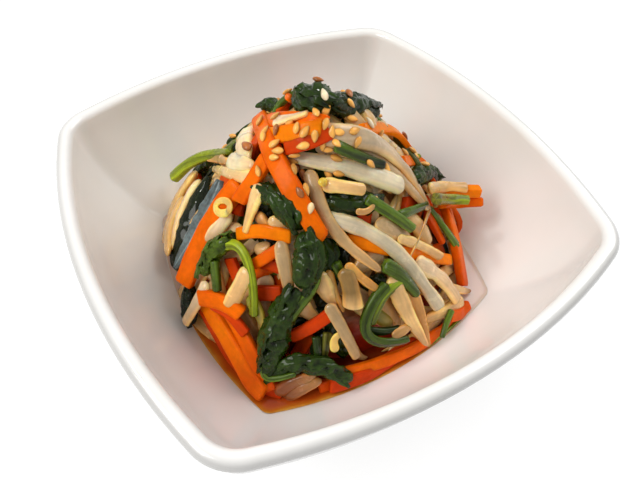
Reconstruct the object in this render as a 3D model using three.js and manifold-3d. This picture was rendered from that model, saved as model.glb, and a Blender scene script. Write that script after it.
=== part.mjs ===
// A small square porcelain bowl holding a tall mound of mixed namul: bean sprouts, carrot strips,
// blanched spinach and toasted sesame, standing in a shallow pool of its seasoned broth.
// Millimetres, +Z up. The origin is the centre of the foot's underside.
import * as THREE from "three";
import { mergeVertices } from "three/addons/utils/BufferGeometryUtils.js";
import Module from "manifold-3d";

const wasm = await Module();
wasm.setup();

// ---------------------------------------------------------------- driving dimensions

const GAP = 0.35; // left between pieces that touch

const BOWL = {
  rimHalf: 64, // centre of the bowl to the middle of the lip, halfway along a side
  rimHeight: 46, // of the middle of the lip
  lipRadius: 2,
  floorHalf: 29, // the flat part of the inside floor
  floorTop: 6,
  wallPower: 1.9, // how the wall turns up from the floor; 2 would be an ellipse
  wall: 4,
  footHalf: 33,
  footWidth: 3.5,
  footRecess: 2.4,
  outerBottom: 3, // height at which the outer wall meets the foot
  cornerRim: 11,
  cornerFloor: 3.5,
  bow: 2.5, // radius of a side's outward curve, as a multiple of its half width
  sideSteps: 6,
  cornerSteps: 3,
};

const BROTH_LEVEL = 12;

const MOUND = {
  x: 1.4, // the mound stands a little behind the bowl's centre
  y: 4.6,
  widest: 148, // the bearing along which it is stretched
  stretch: 1.05,
  top: 69.5,
  base: 12.5, // where its slope would end, just above the broth
  radius: 47.5,
  power: 1.27, // 1 would be a cone, 2 a dome
  neck: 37, // radius where it enters the broth
  foot: 18, // radius on the bowl's floor
  footPower: 0.8, // 1 would make a straight slope from the floor to the neck
  slopeShares: [0.06, 0.2, 0.4, 0.6, 0.8, 0.93], // of the radius, where the slope has its rings
  neckRise: 0.8, // how far above the broth the neck ends
  overhangRise: 2.2, // height above the broth of the ring that overhangs it
  steps: 18,
};

// The side that shows in the picture is set out in the picture's own plane: a point [u, v] of it, in pixels,
// is laid on the mound where the line of sight through it meets the mound.
const VIEW = {
  eye: new THREE.Vector3(-54.5, -86, 149.5),
  azimuth: -32.5,
  elevation: 52,
  roll: 2.65,
  focal: 527,
  centre: [320, 240],
};

const TOUCH = 0.2; // a piece whose lines of sight all pass the mound by is drawn in this close to it
const BROTH_CLEAR = 3 * GAP; // pieces stay this far above the broth
const FUSE = 0.72; // pieces overlap where they cross, down to this share of their two radii
const WALL_GAP = 0.8; // pieces stay this far off the bowl's wall
const BEND_RADIUS = 24; // tightest curve that a piece takes over what it lies on
const SEED = { length: 3.3, width: 2, thickness: 1.3 };
const CARROT_FLATNESS = 0.62; // a strip's thickness as a share of its width
const LEAF = {
  thickness: 1.2,
  crumple: 0.8,
  narrowEnd: 0.45, // width at the ends as a share of the middle's
  wave: { along: 2.4, across: 2.1 }, // radians from one point of the sheet to the next
};

// ---------------------------------------------------------------- closed meshes

// Joins rings of points, each with as many points as the next, into one closed mesh with a flat face at each
// end, or endlessly. Rings turn counter-clockwise as seen looking from the first ring on to the second.
function loft(rings, endless = false) {
  const count = rings[0].length;
  const faces = [];
  const spans = endless ? rings.length : rings.length - 1;
  for (let j = 0; j < spans; j++) {
    for (let i = 0; i < count; i++) {
      const a = j * count + i;
      const b = j * count + ((i + 1) % count);
      const c = ((j + 1) % rings.length) * count + ((i + 1) % count);
      const d = ((j + 1) % rings.length) * count + i;
      faces.push(a, d, b, b, d, c);
    }
  }
  if (!endless) {
    const last = (rings.length - 1) * count;
    for (let i = 1; i < count - 1; i++) {
      faces.push(0, i, i + 1, last, last + i + 1, last + i);
    }
  }
  const geometry = new THREE.BufferGeometry().setFromPoints(rings.flat());
  geometry.setIndex(faces);
  return geometry;
}

function solidOf(geometry) {
  const bare = geometry.clone();
  bare.deleteAttribute("normal");
  bare.deleteAttribute("uv");
  const merged = mergeVertices(bare, 1e-4);
  return new wasm.Manifold(
    new wasm.Mesh({
      numProp: 3,
      vertProperties: merged.getAttribute("position").array,
      triVerts: new Uint32Array(merged.index.array),
    }),
  );
}

function geometryOf(solid) {
  const mesh = solid.getMesh();
  return new THREE.BufferGeometry()
    .setAttribute("position", new THREE.BufferAttribute(mesh.vertProperties, 3))
    .setIndex(new THREE.BufferAttribute(mesh.triVerts, 1));
}

// ---------------------------------------------------------------- bowl

// The bowl's outline at one height: four sides that bow outwards, and four round corners.
function outline(half, corner, z) {
  const sideRadius = BOWL.bow * half;
  const back = sideRadius - half; // the side's centre is this far behind the bowl's
  const reach = sideRadius - corner;
  const cornerCentre = (Math.sqrt(2 * reach * reach - back * back) - back) / 2;
  const turn = Math.atan2(cornerCentre, cornerCentre + back);
  const quarter = [];
  for (let i = 0; i <= BOWL.sideSteps; i++) {
    const t = turn * ((2 * i) / BOWL.sideSteps - 1);
    quarter.push([sideRadius * Math.cos(t) - back, sideRadius * Math.sin(t)]);
  }
  for (let i = 1; i < BOWL.cornerSteps; i++) {
    const t = turn + (Math.PI / 2 - 2 * turn) * (i / BOWL.cornerSteps);
    quarter.push([cornerCentre + corner * Math.cos(t), cornerCentre + corner * Math.sin(t)]);
  }
  const turns = [0, 1, 2, 3].map((n) => new THREE.Matrix4().makeRotationZ((n * Math.PI) / 2));
  return turns.flatMap((m) => quarter.map(([x, y]) => new THREE.Vector3(x, y, z).applyMatrix4(m)));
}

// How far the wall has opened at a share of its height, from 0 at the floor to 1 at the rim.
function opening(share) {
  return (1 - (1 - share) ** BOWL.wallPower) ** (1 / BOWL.wallPower);
}

const INNER_SHARES = [0, 0.02, 0.07, 0.15, 0.27, 0.45, 0.7, 1]; // heights of the inside wall's rings
const innerDepth = BOWL.rimHeight - BOWL.floorTop;

// Half width of the inside at one height, straight between the wall's rings.
function innerHalf(z) {
  const share = THREE.MathUtils.clamp((z - BOWL.floorTop) / innerDepth, 0, 1);
  const above = Math.max(1, INNER_SHARES.findIndex((s) => s >= share));
  const [low, high] = [INNER_SHARES[above - 1], INNER_SHARES[above]];
  const open = THREE.MathUtils.mapLinear(share, low, high, opening(low), opening(high));
  return BOWL.floorHalf + (BOWL.rimHalf - BOWL.lipRadius - BOWL.floorHalf) * open;
}

function cornerAt(z) {
  const share = THREE.MathUtils.clamp(z / BOWL.rimHeight, 0, 1);
  return BOWL.cornerFloor + (BOWL.cornerRim - BOWL.cornerFloor) * share ** 2;
}

// The inside at one height, or a gap clear of it.
function innerOutline(z, gap = 0) {
  return outline(innerHalf(z - gap) - gap, cornerAt(z) - gap, z);
}

function outerOutline(z) {
  const low = BOWL.footHalf + 1;
  const high = BOWL.rimHalf + BOWL.lipRadius;
  const share = (z - BOWL.outerBottom) / (BOWL.rimHeight - BOWL.outerBottom);
  return outline(low + (high - low) * opening(share), cornerAt(z) + BOWL.wall / 2, z);
}

function makeBowl() {
  const rings = [];
  for (const share of INNER_SHARES.slice(0, -1)) {
    rings.push(innerOutline(BOWL.floorTop + share * innerDepth));
  }
  for (const angle of [180, 135, 90, 45, 0]) {
    const t = THREE.MathUtils.degToRad(angle);
    const across = BOWL.lipRadius * Math.cos(t);
    const z = BOWL.rimHeight + BOWL.lipRadius * Math.sin(t);
    rings.push(outline(BOWL.rimHalf + across, BOWL.cornerRim + across, z));
  }
  for (const share of [0.68, 0.42, 0.22, 0.07, 0]) {
    rings.push(outerOutline(BOWL.outerBottom + share * (BOWL.rimHeight - BOWL.outerBottom)));
  }
  const footInner = BOWL.footHalf - BOWL.footWidth;
  rings.push(outline(BOWL.footHalf, BOWL.cornerFloor, 0));
  rings.push(outline(footInner, BOWL.cornerFloor, 0));
  rings.push(outline(footInner - 1, BOWL.cornerFloor, BOWL.footRecess));
  return loft(rings);
}

// ---------------------------------------------------------------- mound

function moundHeight(rho) {
  return MOUND.base + (MOUND.top - MOUND.base) * (1 - (rho / MOUND.radius) ** MOUND.power);
}

function moundSteepness(rho) {
  const rise = (MOUND.top - MOUND.base) / MOUND.radius;
  return rise * MOUND.power * (rho / MOUND.radius) ** (MOUND.power - 1);
}

const widest = THREE.MathUtils.degToRad(MOUND.widest);

// A place on the plan of the round mound, as it lies once the mound is stretched, and the way back.
function stretched(x, y) {
  const along = x * Math.cos(widest) + y * Math.sin(widest);
  const more = along * (MOUND.stretch - 1);
  return [MOUND.x + x + more * Math.cos(widest), MOUND.y + y + more * Math.sin(widest)];
}

function unstretched(x, y) {
  const along = (x - MOUND.x) * Math.cos(widest) + (y - MOUND.y) * Math.sin(widest);
  const less = along * (1 / MOUND.stretch - 1);
  return [x - MOUND.x + less * Math.cos(widest), y - MOUND.y + less * Math.sin(widest)];
}

function rhoOf(point) {
  return Math.hypot(...unstretched(point.x, point.y));
}

// Distance of a point from the mound's bare surface, and that surface's normal below it.
function standoff(point) {
  const rho = rhoOf(point);
  return (point.z - moundHeight(rho)) / Math.hypot(1, moundSteepness(rho));
}

function moundNormal(point) {
  const [x, y] = unstretched(point.x, point.y);
  const rho = Math.max(Math.hypot(x, y), 1e-6);
  const steep = moundSteepness(rho) / rho;
  return new THREE.Vector3(x * steep, y * steep, 1).normalize();
}

// Radius of the mound's foot at a height in the broth.
function footRadius(z) {
  const share = (z - BOWL.floorTop) / (BROTH_LEVEL - BOWL.floorTop);
  return MOUND.foot + (MOUND.neck - MOUND.foot) * share ** MOUND.footPower;
}

function aboutMound(radius, bearing, z) {
  return new THREE.Vector3(...stretched(radius * Math.cos(bearing), radius * Math.sin(bearing)), z);
}

function circle(radius, z) {
  const bearings = Array.from({ length: MOUND.steps }, (_, i) => (i / MOUND.steps) * 2 * Math.PI);
  return bearings.map((bearing) => aboutMound(radius, bearing, z));
}

const BROTH_HEIGHTS = [BOWL.floorTop + GAP, 8, 10, BROTH_LEVEL];

function makeCore() {
  const slope = MOUND.slopeShares.map((share) => {
    const radius = share * MOUND.radius;
    return circle(radius, moundHeight(radius));
  });
  const foot = BROTH_HEIGHTS.map((z) => circle(footRadius(z), z)).reverse();
  const overhang = circle((MOUND.neck + MOUND.radius) / 2, BROTH_LEVEL + MOUND.overhangRise);
  const neck = circle(MOUND.neck, BROTH_LEVEL + MOUND.neckRise);
  return loft([...slope, overhang, neck, ...foot]);
}

// ---------------------------------------------------------------- broth

// A ring of broth between the bowl's wall and the mound's foot.
function makeBroth() {
  const outside = BROTH_HEIGHTS.map((z) => innerOutline(z, GAP));
  const inside = BROTH_HEIGHTS.map((z, n) => {
    const radius = footRadius(Math.min(z + GAP, BROTH_LEVEL)) + 3 * GAP;
    return outside[n].map((p) => {
      const [x, y] = unstretched(p.x, p.y);
      return aboutMound(radius, Math.atan2(y, x), z);
    });
  });
  return loft([...outside.reverse(), ...inside], true);
}

// ---------------------------------------------------------------- laying pieces on the mound

const placed = []; // every piece's beads so far: { at, radius }

const sight = (() => {
  const a = THREE.MathUtils.degToRad(VIEW.azimuth);
  const e = THREE.MathUtils.degToRad(VIEW.elevation);
  const forward = new THREE.Vector3(-Math.sin(a) * Math.cos(e), Math.cos(a) * Math.cos(e), -Math.sin(e));
  const right = forward.clone().cross(new THREE.Vector3(0, 0, 1)).normalize();
  right.applyAxisAngle(forward, -THREE.MathUtils.degToRad(VIEW.roll));
  return { forward, right, up: right.clone().cross(forward) };
})();

// The direction of the line of sight through a point of the picture.
function sightLine([u, v]) {
  return sight.forward
    .clone()
    .multiplyScalar(VIEW.focal)
    .addScaledVector(sight.right, u - VIEW.centre[0])
    .addScaledVector(sight.up, VIEW.centre[1] - v)
    .normalize();
}

// Where a line of sight meets the mound, or passes closest to it, and the way back to the eye.
function onMound(pixel) {
  const line = sightLine(pixel);
  let nearest = { gap: Infinity };
  for (let far = 60; far < 260; far += 0.5) {
    const at = VIEW.eye.clone().addScaledVector(line, far);
    const gap = standoff(at);
    if (gap < nearest.gap) nearest = { gap, at };
    if (gap <= 0) break;
  }
  return { at: nearest.at, out: line.negate() };
}

// Half width of the outline that runs through a point.
function halfThrough(point) {
  const towardsSide = (BOWL.bow - 1) * Math.max(Math.abs(point.x), Math.abs(point.y));
  const spread = 2 * BOWL.bow - 1;
  return (towardsSide + Math.sqrt(towardsSide ** 2 + spread * (point.x ** 2 + point.y ** 2))) / spread;
}

// Keeps a bead inside the bowl and clear of the broth, with a piece that reaches this far to its side.
function insideBowl(at, reach) {
  at.z = Math.max(at.z, BROTH_LEVEL + BROTH_CLEAR + reach);
  const size = halfThrough(at);
  const room = innerHalf(at.z - reach) - reach - WALL_GAP;
  if (size > room) {
    at.x *= room / size;
    at.y *= room / size;
  }
  return at;
}

// Lays a chain of beads on the mound and on the pieces already there. Each bead slides out along its own
// way until it is clear, and the piece takes no curve tighter than BEND_RADIUS. A flat piece reaches further
// to its side than the radius of its beads.
function lay(spots, radiusAt, sideReach = 0) {
  const chain = spots.map(({ at, out }, n) => {
    const radius = radiusAt(spots.length > 1 ? n / (spots.length - 1) : 0);
    let need = radius * FUSE;
    for (const other of placed) {
      const reach = (other.radius + radius) * FUSE;
      const to = other.at.clone().sub(at);
      const along = to.dot(out);
      const aside2 = to.lengthSq() - along * along;
      if (aside2 < reach * reach) need = Math.max(need, along + Math.sqrt(reach * reach - aside2));
    }
    return { at, out, radius, need };
  });
  const beads = chain.map(({ at, out, radius }) => {
    const lifted = chain.map((b) => b.need - b.at.distanceToSquared(at) / (2 * BEND_RADIUS));
    const laid = at.clone().addScaledVector(out, Math.max(...lifted));
    return { at: insideBowl(laid, Math.max(radius, sideReach)), radius };
  });
  placed.push(...beads);
  return new THREE.CatmullRomCurve3(beads.map((bead) => bead.at));
}

// The beads of a piece whose route is given in the picture. It may stick out past the mound, but its closest
// bead comes at least this near.
function inPicture(route, { off = TOUCH, count = 7 } = {}) {
  const flat = new THREE.SplineCurve(route.map(([u, v]) => new THREE.Vector2(u, v)));
  const spots = flat.getSpacedPoints(count).map((p) => onMound([p.x, p.y]));
  const closest = spots.reduce((a, b) => (standoff(b.at) < standoff(a.at) ? b : a)).at;
  const draw = moundNormal(closest).multiplyScalar(Math.min(0, off - standoff(closest)));
  for (const { at } of spots) at.add(draw);
  return spots;
}

// The beads of a piece that crosses a spot on the mound, given by bearing and share of the radius.
function aroundMound(bearing, share, heading, length, count = 6) {
  const middle = new THREE.Vector2(Math.cos(bearing), Math.sin(bearing)).multiplyScalar(share * MOUND.radius);
  const slope = Math.hypot(1, moundSteepness(middle.length()));
  const downhill = middle.clone().normalize();
  const level = new THREE.Vector2(-downhill.y, downhill.x);
  return Array.from({ length: count + 1 }, (_, i) => {
    const along = (i / count - 0.5) * length;
    const p = middle
      .clone()
      .addScaledVector(downhill, (Math.cos(heading) * along) / slope)
      .addScaledVector(level, Math.sin(heading) * along);
    const at = new THREE.Vector3(...stretched(p.x, p.y), moundHeight(p.length()));
    return { at, out: moundNormal(at) };
  });
}

// ---------------------------------------------------------------- forms of the pieces

// Sweeps a section along a curve. The section is a list of [across, outwards] points for a share of the
// length.
function sweep(curve, steps, section, twist = 0) {
  const rings = [];
  for (let j = 0; j <= steps; j++) {
    const share = j / steps;
    const at = curve.getPointAt(share);
    const tangent = curve.getTangentAt(share);
    const side = tangent.clone().cross(moundNormal(at)).normalize().applyAxisAngle(tangent, twist);
    const outwards = side.clone().cross(tangent);
    rings.push(
      section(share).map(([x, y]) => at.clone().addScaledVector(side, x).addScaledVector(outwards, y)),
    );
  }
  return loft(rings);
}

// A round section.
function round(radius, sides) {
  return Array.from({ length: sides }, (_, i) => {
    const t = (i / sides) * 2 * Math.PI;
    return [radius * Math.cos(t), radius * Math.sin(t)];
  });
}

// A carrot strip: a flat bar with square ends.
function carrot(spots, { width, twist = 0 }) {
  const x = width / 2;
  const y = x * CARROT_FLATNESS;
  const curve = lay(spots, () => (x + y) / 2, x + y / 2);
  return sweep(curve, 3, () => [[x, -y], [x, y], [-x, y], [-x, -y]], twist);
}

// A bean sprout: thick for most of its length, and drawn out to a root at the end.
function sprout(spots, { thick, thin }) {
  const radius = (share) => THREE.MathUtils.lerp(thick, thin, share ** 2);
  const tip = (share) => (share === 0 || share === 1 ? 0.6 : 1);
  return sweep(lay(spots, radius), 4, (share) => round(radius(share) * tip(share), 5));
}

function stem(spots, { radius }) {
  return sweep(lay(spots, () => radius), 3, () => round(radius, 5));
}

// A spinach leaf folded up into a lump.
function foldedLeaf(spots, { radius }) {
  const radiusAt = (share) => radius * (0.6 + 0.4 * Math.sin(Math.PI * share));
  return sweep(lay(spots, radiusAt), 4, (share) => round(radiusAt(share), 6));
}

// A spinach leaf: a thin crumpled sheet, its two faces split alike.
function leaf(spots, { width, phase = 0 }) {
  const { thickness, crumple, narrowEnd, wave } = LEAF;
  const curve = lay(spots, () => thickness / 2, width * 0.45);
  const long = 5;
  const across = 2;
  const faces = [];
  const top = [];
  const bottom = [];
  for (let j = 0; j <= long; j++) {
    const share = j / long;
    const at = curve.getPointAt(share);
    const tangent = curve.getTangentAt(share);
    const side = tangent.clone().cross(moundNormal(at)).normalize();
    const outwards = side.clone().cross(tangent);
    const half = (width / 2) * (narrowEnd + (1 - narrowEnd) * Math.sin(Math.PI * share));
    for (let i = 0; i <= across; i++) {
      const x = (i / across) * 2 - 1;
      const rise = crumple * (Math.sin(phase + wave.along * j + wave.across * i) - x * x);
      const p = at.clone().addScaledVector(side, x * half).addScaledVector(outwards, rise);
      top.push(p.clone().addScaledVector(outwards, thickness / 2));
      bottom.push(p.addScaledVector(outwards, -thickness / 2));
    }
  }
  const row = across + 1;
  const under = top.length;
  const wall = (a, b) => faces.push(a, b, a + under, b, b + under, a + under);
  for (let j = 0; j < long; j++) {
    for (let i = 0; i < across; i++) {
      const [a, b, c, d] = [j * row + i, j * row + i + 1, (j + 1) * row + i, (j + 1) * row + i + 1];
      faces.push(a, b, c, b, d, c);
      faces.push(a + under, c + under, b + under, b + under, c + under, d + under);
    }
    wall(j * row, (j + 1) * row);
    wall((j + 1) * row + across, j * row + across);
  }
  for (let i = 0; i < across; i++) {
    wall(i + 1, i);
    wall(long * row + i, long * row + i + 1);
  }
  const geometry = new THREE.BufferGeometry().setFromPoints([...top, ...bottom]);
  geometry.setIndex(faces);
  return geometry;
}

// A sesame seed, lying on whatever is under it.
function seed({ at, out }, heading) {
  const geometry = new THREE.SphereGeometry(0.5, 5, 3);
  geometry.scale(SEED.thickness, SEED.width, SEED.length);
  const [spot] = lay([{ at, out }], () => SEED.thickness / 5).points; // it sinks in a little
  const normal = moundNormal(spot);
  const along = new THREE.Vector3(Math.cos(heading), Math.sin(heading), 0);
  along.addScaledVector(normal, -along.dot(normal)).normalize();
  const frame = new THREE.Matrix4().makeBasis(normal, along.clone().cross(normal), along);
  return geometry.applyMatrix4(frame.setPosition(spot));
}

// ---------------------------------------------------------------- what the mound is made of

// Pieces on the side that shows, each as its route in the picture, along the piece's middle, and its size in
// millimetres: a carrot's or leaf's width, a stem's radius, a sprout's radius at either end. off is how far a
// thick piece's middle may stand off the mound.

const DEEP_CARROTS = [
  { route: [[350, 219], [368, 218]], width: 4 },
  { route: [[258, 293], [280, 293]], width: 4 },
  { route: [[224, 182], [240, 184]], width: 4 },
  { route: [[292, 338], [316, 330], [333, 315]], width: 3.6 },
  { route: [[208, 305], [234, 350], [262, 396]], width: 6 },
  { route: [[200, 296], [245, 312]], width: 4 },
  { route: [[351, 370], [418, 354], [462, 326]], width: 3.8 },
  { route: [[322, 388], [380, 374], [416, 362]], width: 4.6 },
  { route: [[450, 318], [476, 312]], width: 3.6 },
  { route: [[262, 122], [300, 134]], width: 7 },
];

const DEEP_LEAVES = [
  { route: [[328, 240], [328, 262], [322, 282]], width: 7 },
  { route: [[324, 322], [320, 340], [318, 358]], width: 6 },
  { route: [[192, 284], [190, 304], [196, 324]], width: 7 },
  { route: [[206, 172], [194, 210], [176, 250], [170, 276]], width: 7 },
  { route: [[222, 262], [212, 276], [216, 292]], width: 7 },
  { route: [[260, 186], [296, 215], [312, 258]], width: 10 },
  { route: [[304, 285], [276, 308], [266, 342], [262, 374]], width: 8 },
  { route: [[256, 380], [292, 360], [322, 360], [350, 378]], width: 7 },
  { route: [[326, 200], [350, 206], [376, 200]], width: 9 },
  { route: [[412, 174], [440, 176], [464, 176]], width: 6 },
];

const LOW_SPROUTS = [
  { route: [[244, 134], [247, 152], [245, 171]], thick: 2.2, thin: 2 },
  { route: [[207, 280], [197, 302], [187, 322]], thick: 1.8, thin: 1 },
  { route: [[247, 271], [240, 288], [231, 306]], thick: 2, thin: 1.2 },
  { route: [[190, 176], [172, 214], [172, 246]], thick: 1.9, thin: 0.9 },
  { route: [[336, 315], [346, 335], [357, 359]], thick: 1.8, thin: 1.2 },
  { route: [[424, 264], [449, 274], [459, 298]], thick: 2.6, thin: 1.8 },
  { route: [[452, 288], [470, 291], [486, 292]], thick: 1.5, thin: 0.6 },
  { route: [[389, 292], [410, 320], [427, 344]], thick: 1.6, thin: 0.7 },
  { route: [[410, 295], [420, 322], [429, 346]], thick: 1.4, thin: 0.7 },
  { route: [[343, 256], [364, 274], [388, 296]], thick: 1.3, thin: 0.9 },
  { route: [[329, 271], [334, 290], [343, 308]], thick: 1.2, thin: 0.7 },
  { route: [[334, 346], [339, 336], [344, 342]], thick: 1.9, thin: 1.3 },
];

const STEMS = [
  { route: [[440, 335], [446, 324], [449, 312]], radius: 1.4 },
  { route: [[428, 354], [444, 344], [459, 333]], radius: 1 },
  { route: [[384, 267], [400, 280], [416, 292]], radius: 2 },
  { route: [[397, 280], [364, 304], [358, 328], [376, 345], [406, 340]], radius: 2 },
  { route: [[312, 260], [314, 282], [297, 305], [287, 320]], radius: 1.7 },
  { route: [[212, 246], [229, 239], [244, 254], [254, 278], [254, 316]], radius: 1.5 },
  { route: [[431, 211], [444, 227], [457, 244]], radius: 1.2 },
  { route: [[424, 193], [446, 198], [470, 202]], radius: 1.4 },
  { route: [[372, 202], [392, 214], [412, 228]], radius: 1.5 },
  { route: [[337, 148], [360, 158], [383, 163]], radius: 1.5 },
  { route: [[174, 176], [192, 160], [228, 153], [244, 166]], radius: 1.6 },
];

const CARROTS = [
  { route: [[228, 197], [205, 235], [182, 284]], width: 5 },
  { route: [[240, 229], [264, 237], [290, 238]], width: 3.4 },
  { route: [[254, 260], [270, 254], [283, 246]], width: 3.2 },
  { route: [[441, 210], [451, 236], [466, 284]], width: 4.8 },
  { route: [[350, 243], [398, 253], [448, 258]], width: 3.4 },
  { route: [[430, 186], [456, 187], [482, 187]], width: 3.2 },
  { route: [[428, 202], [456, 201], [481, 200]], width: 3.2 },
  { route: [[268, 172], [254, 186], [240, 201]], width: 4 },
  { route: [[368, 131], [393, 130], [409, 147]], width: 3.6 },
];

const SPROUTS = [
  { route: [[384, 233], [412, 246], [438, 256]], thick: 1.4, thin: 1 },
  { route: [[262, 190], [254, 210], [247, 231]], thick: 1.8, thin: 1.4 },
  { route: [[229, 216], [220, 228], [207, 240]], thick: 1.8, thin: 1.4 },
  { route: [[220, 200], [232, 204], [225, 213]], thick: 1.6, thin: 1.4 },
  { route: [[280, 246], [292, 291]], thick: 1.8, thin: 1.2 },
  { route: [[311, 180], [326, 216], [350, 249], [379, 271]], thick: 2.1, thin: 1.3 },
  { route: [[335, 222], [380, 236], [408, 262], [438, 306]], thick: 2.3, thin: 1.6 },
  { route: [[324, 185], [344, 187], [366, 189]], thick: 2, thin: 1.5 },
  { route: [[341, 127], [378, 142], [408, 175], [430, 210]], thick: 2.7, thin: 1 },
  { route: [[430, 210], [422, 236], [411, 254]], thick: 0.8, thin: 0.5 },
  { route: [[404, 184], [350, 166], [298, 157]], thick: 2.4, thin: 1.5 },
  { route: [[212, 167], [230, 171], [249, 174]], thick: 1.4, thin: 0.8 },
];

const TOP_CARROTS = [{ route: [[258, 122], [275, 165], [322, 238]], width: 5 }];

const TOP_LEAVES = [
  { route: [[267, 106], [284, 102], [300, 94]], radius: 1.9, off: 1 },
  { route: [[296, 99], [313, 96], [332, 106]], radius: 4, off: 2.4 },
  { route: [[334, 106], [354, 104], [376, 111]], radius: 3.4, off: 2 },
];

const TOP_SEEDS = [
  [261, 121], [266, 131], [276, 117], [290, 122], [297, 128], [275, 144], [275, 158], [315, 136],
  [294, 154], [316, 113], [325, 124], [357, 142], [340, 92], [350, 104], [352, 119], [379, 134],
  [328, 148], [336, 159], [370, 164], [386, 169], [328, 173], [303, 175], [293, 170], [369, 123],
  [404, 153], [247, 147], [259, 171], [311, 208], [318, 84], [305, 190], [323, 145],
];

// The far side doesn't show: the same kinds of piece are strewn over it. Spots follow an even sequence, and
// everything else about a piece is drawn from a seeded one.
const FAR_SIDE = {
  bearing: 57, // degrees, and how far it reaches to either side
  spread: 95,
  carrots: 9,
  leaves: 5,
  stems: 4,
  sprouts: 11,
};

function makeRandom(start) {
  let state = start;
  return (low, high) => {
    state = (state * 1664525 + 1013904223) >>> 0;
    return low + (state / 4294967296) * (high - low);
  };
}

function strewnPieces(random) {
  const pieces = [];
  const strew = (count, make) => {
    for (let n = 0; n < count; n++) pieces.push(make(n));
  };
  const spot = (length) => {
    const across = ((pieces.length * 0.755) % 1) * 2 - 1;
    const down = Math.sqrt(0.15 + 0.8 * ((pieces.length * 0.57) % 1));
    const bearing = THREE.MathUtils.degToRad(FAR_SIDE.bearing + across * FAR_SIDE.spread);
    return aroundMound(bearing, down, random(0, 2 * Math.PI), length);
  };
  strew(FAR_SIDE.carrots, () => {
    return carrot(spot(random(18, 28)), { width: random(3.4, 4.8), twist: random(-0.5, 0.5) });
  });
  strew(FAR_SIDE.leaves, (n) => leaf(spot(random(16, 22)), { width: random(8, 11), phase: n }));
  strew(FAR_SIDE.stems, () => stem(spot(random(16, 24)), { radius: random(1.4, 1.9) }));
  strew(FAR_SIDE.sprouts, () => {
    return sprout(spot(random(16, 28)), { thick: random(1.8, 2.4), thin: random(0.9, 1.3) });
  });
  return pieces;
}

function picturedPieces() {
  const kinds = [
    [DEEP_CARROTS, carrot],
    [DEEP_LEAVES, leaf],
    [LOW_SPROUTS, sprout],
    [STEMS, stem],
    [CARROTS, carrot],
    [SPROUTS, sprout],
    [TOP_CARROTS, carrot],
    [TOP_LEAVES, foldedLeaf],
  ];
  return kinds.flatMap(([list, make]) => {
    return list.map(({ route, off, ...size }) => make(inPicture(route, { off }), size));
  });
}

// The core with its pieces fused on. Loose scraps are dropped, and hollows that the fusing seals are filled.
function makeNamul() {
  const random = makeRandom(7);
  const pieces = [...strewnPieces(random), ...picturedPieces()];
  for (const pixel of TOP_SEEDS) {
    const [spot] = inPicture([pixel, pixel], { count: 1 });
    pieces.push(seed(spot, random(0, 2 * Math.PI)));
  }
  const whole = pieces.reduce((sum, piece) => sum.add(solidOf(piece)), solidOf(makeCore()));
  const parts = whole.decompose();
  const [largest] = parts.sort((a, b) => b.volume() - a.volume());
  return geometryOf(largest);
}

// ---------------------------------------------------------------- the part

function meshOf(name, geometry, color, roughness) {
  const mesh = new THREE.Mesh(geometry, new THREE.MeshStandardMaterial({ color, roughness }));
  mesh.name = name;
  geometry.computeVertexNormals();
  return mesh;
}

const part = new THREE.Group();
part.name = "namul_bowl";
part.add(meshOf("bowl", makeBowl(), 0xf1eeea, 0.15));
part.add(meshOf("broth", makeBroth(), 0xd4550f, 0.1));
part.add(meshOf("namul", makeNamul(), 0xc98a3c, 0.4));

export default part;
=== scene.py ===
"""Looks of the bowl of mixed namul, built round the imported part.

Shapes are worked out in millimetres in the part's own frame (+Z up, the origin under the bowl's foot) and
turned into metres as each mesh is made."""

import math

import bpy
import numpy as np
from mathutils import Matrix, Vector
from mathutils.bvhtree import BVHTree


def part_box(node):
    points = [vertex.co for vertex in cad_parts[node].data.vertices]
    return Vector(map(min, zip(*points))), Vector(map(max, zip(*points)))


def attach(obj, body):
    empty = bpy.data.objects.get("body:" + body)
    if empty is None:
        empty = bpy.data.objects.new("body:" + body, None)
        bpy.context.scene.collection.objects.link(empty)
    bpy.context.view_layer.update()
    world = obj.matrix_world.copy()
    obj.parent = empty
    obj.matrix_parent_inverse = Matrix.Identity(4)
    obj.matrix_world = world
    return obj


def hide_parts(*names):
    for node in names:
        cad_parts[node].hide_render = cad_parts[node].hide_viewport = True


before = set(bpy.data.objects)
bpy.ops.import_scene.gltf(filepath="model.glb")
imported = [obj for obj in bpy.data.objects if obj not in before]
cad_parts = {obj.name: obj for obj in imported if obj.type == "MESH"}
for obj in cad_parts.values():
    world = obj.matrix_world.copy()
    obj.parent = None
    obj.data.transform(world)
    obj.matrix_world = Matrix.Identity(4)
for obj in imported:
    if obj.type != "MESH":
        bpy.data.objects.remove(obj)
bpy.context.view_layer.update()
rng = np.random.default_rng(11)

# ---- sizes, in millimetres

MM = 0.001
bowl_high = np.array(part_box("bowl")[1]) / MM
BROTH_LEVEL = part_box("broth")[1][2] / MM
LIP_RADIUS = 2.0
LIP_UNDERCUT = 1.2
RIM_HALF = bowl_high[0] - LIP_RADIUS
RIM_HEIGHT = bowl_high[2] - LIP_RADIUS
FLOOR_HALF = 29.0
FLOOR_TOP = 6.0
WALL_POWER = 1.9
FOOT_HALF = 33.0
FOOT_WIDTH = 3.5
FOOT_RECESS = 2.4
OUTER_BOTTOM = 3.0
CORNER_RIM = 11.0
CORNER_FLOOR = 3.0
BOW = 2.5  # radius of a side's curve, as a share of the half width
PAINTED_OUTSIDE_SHADE = 0.44  # how much painted shade darkens the outside of the bowl

MOUND_X, MOUND_Y = 1.4, 4.6
MOUND_TOP = 69.5
MOUND_BASE = 12.5
MOUND_RADIUS = 47.5
MOUND_POWER = 1.27
WIDEST = math.radians(148)  # the bearing along which the mound is stretched
STRETCH = 1.05
FAR = math.radians(50)  # the middle of the side that the picture hides
FAR_SPREAD = math.radians(72)

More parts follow.
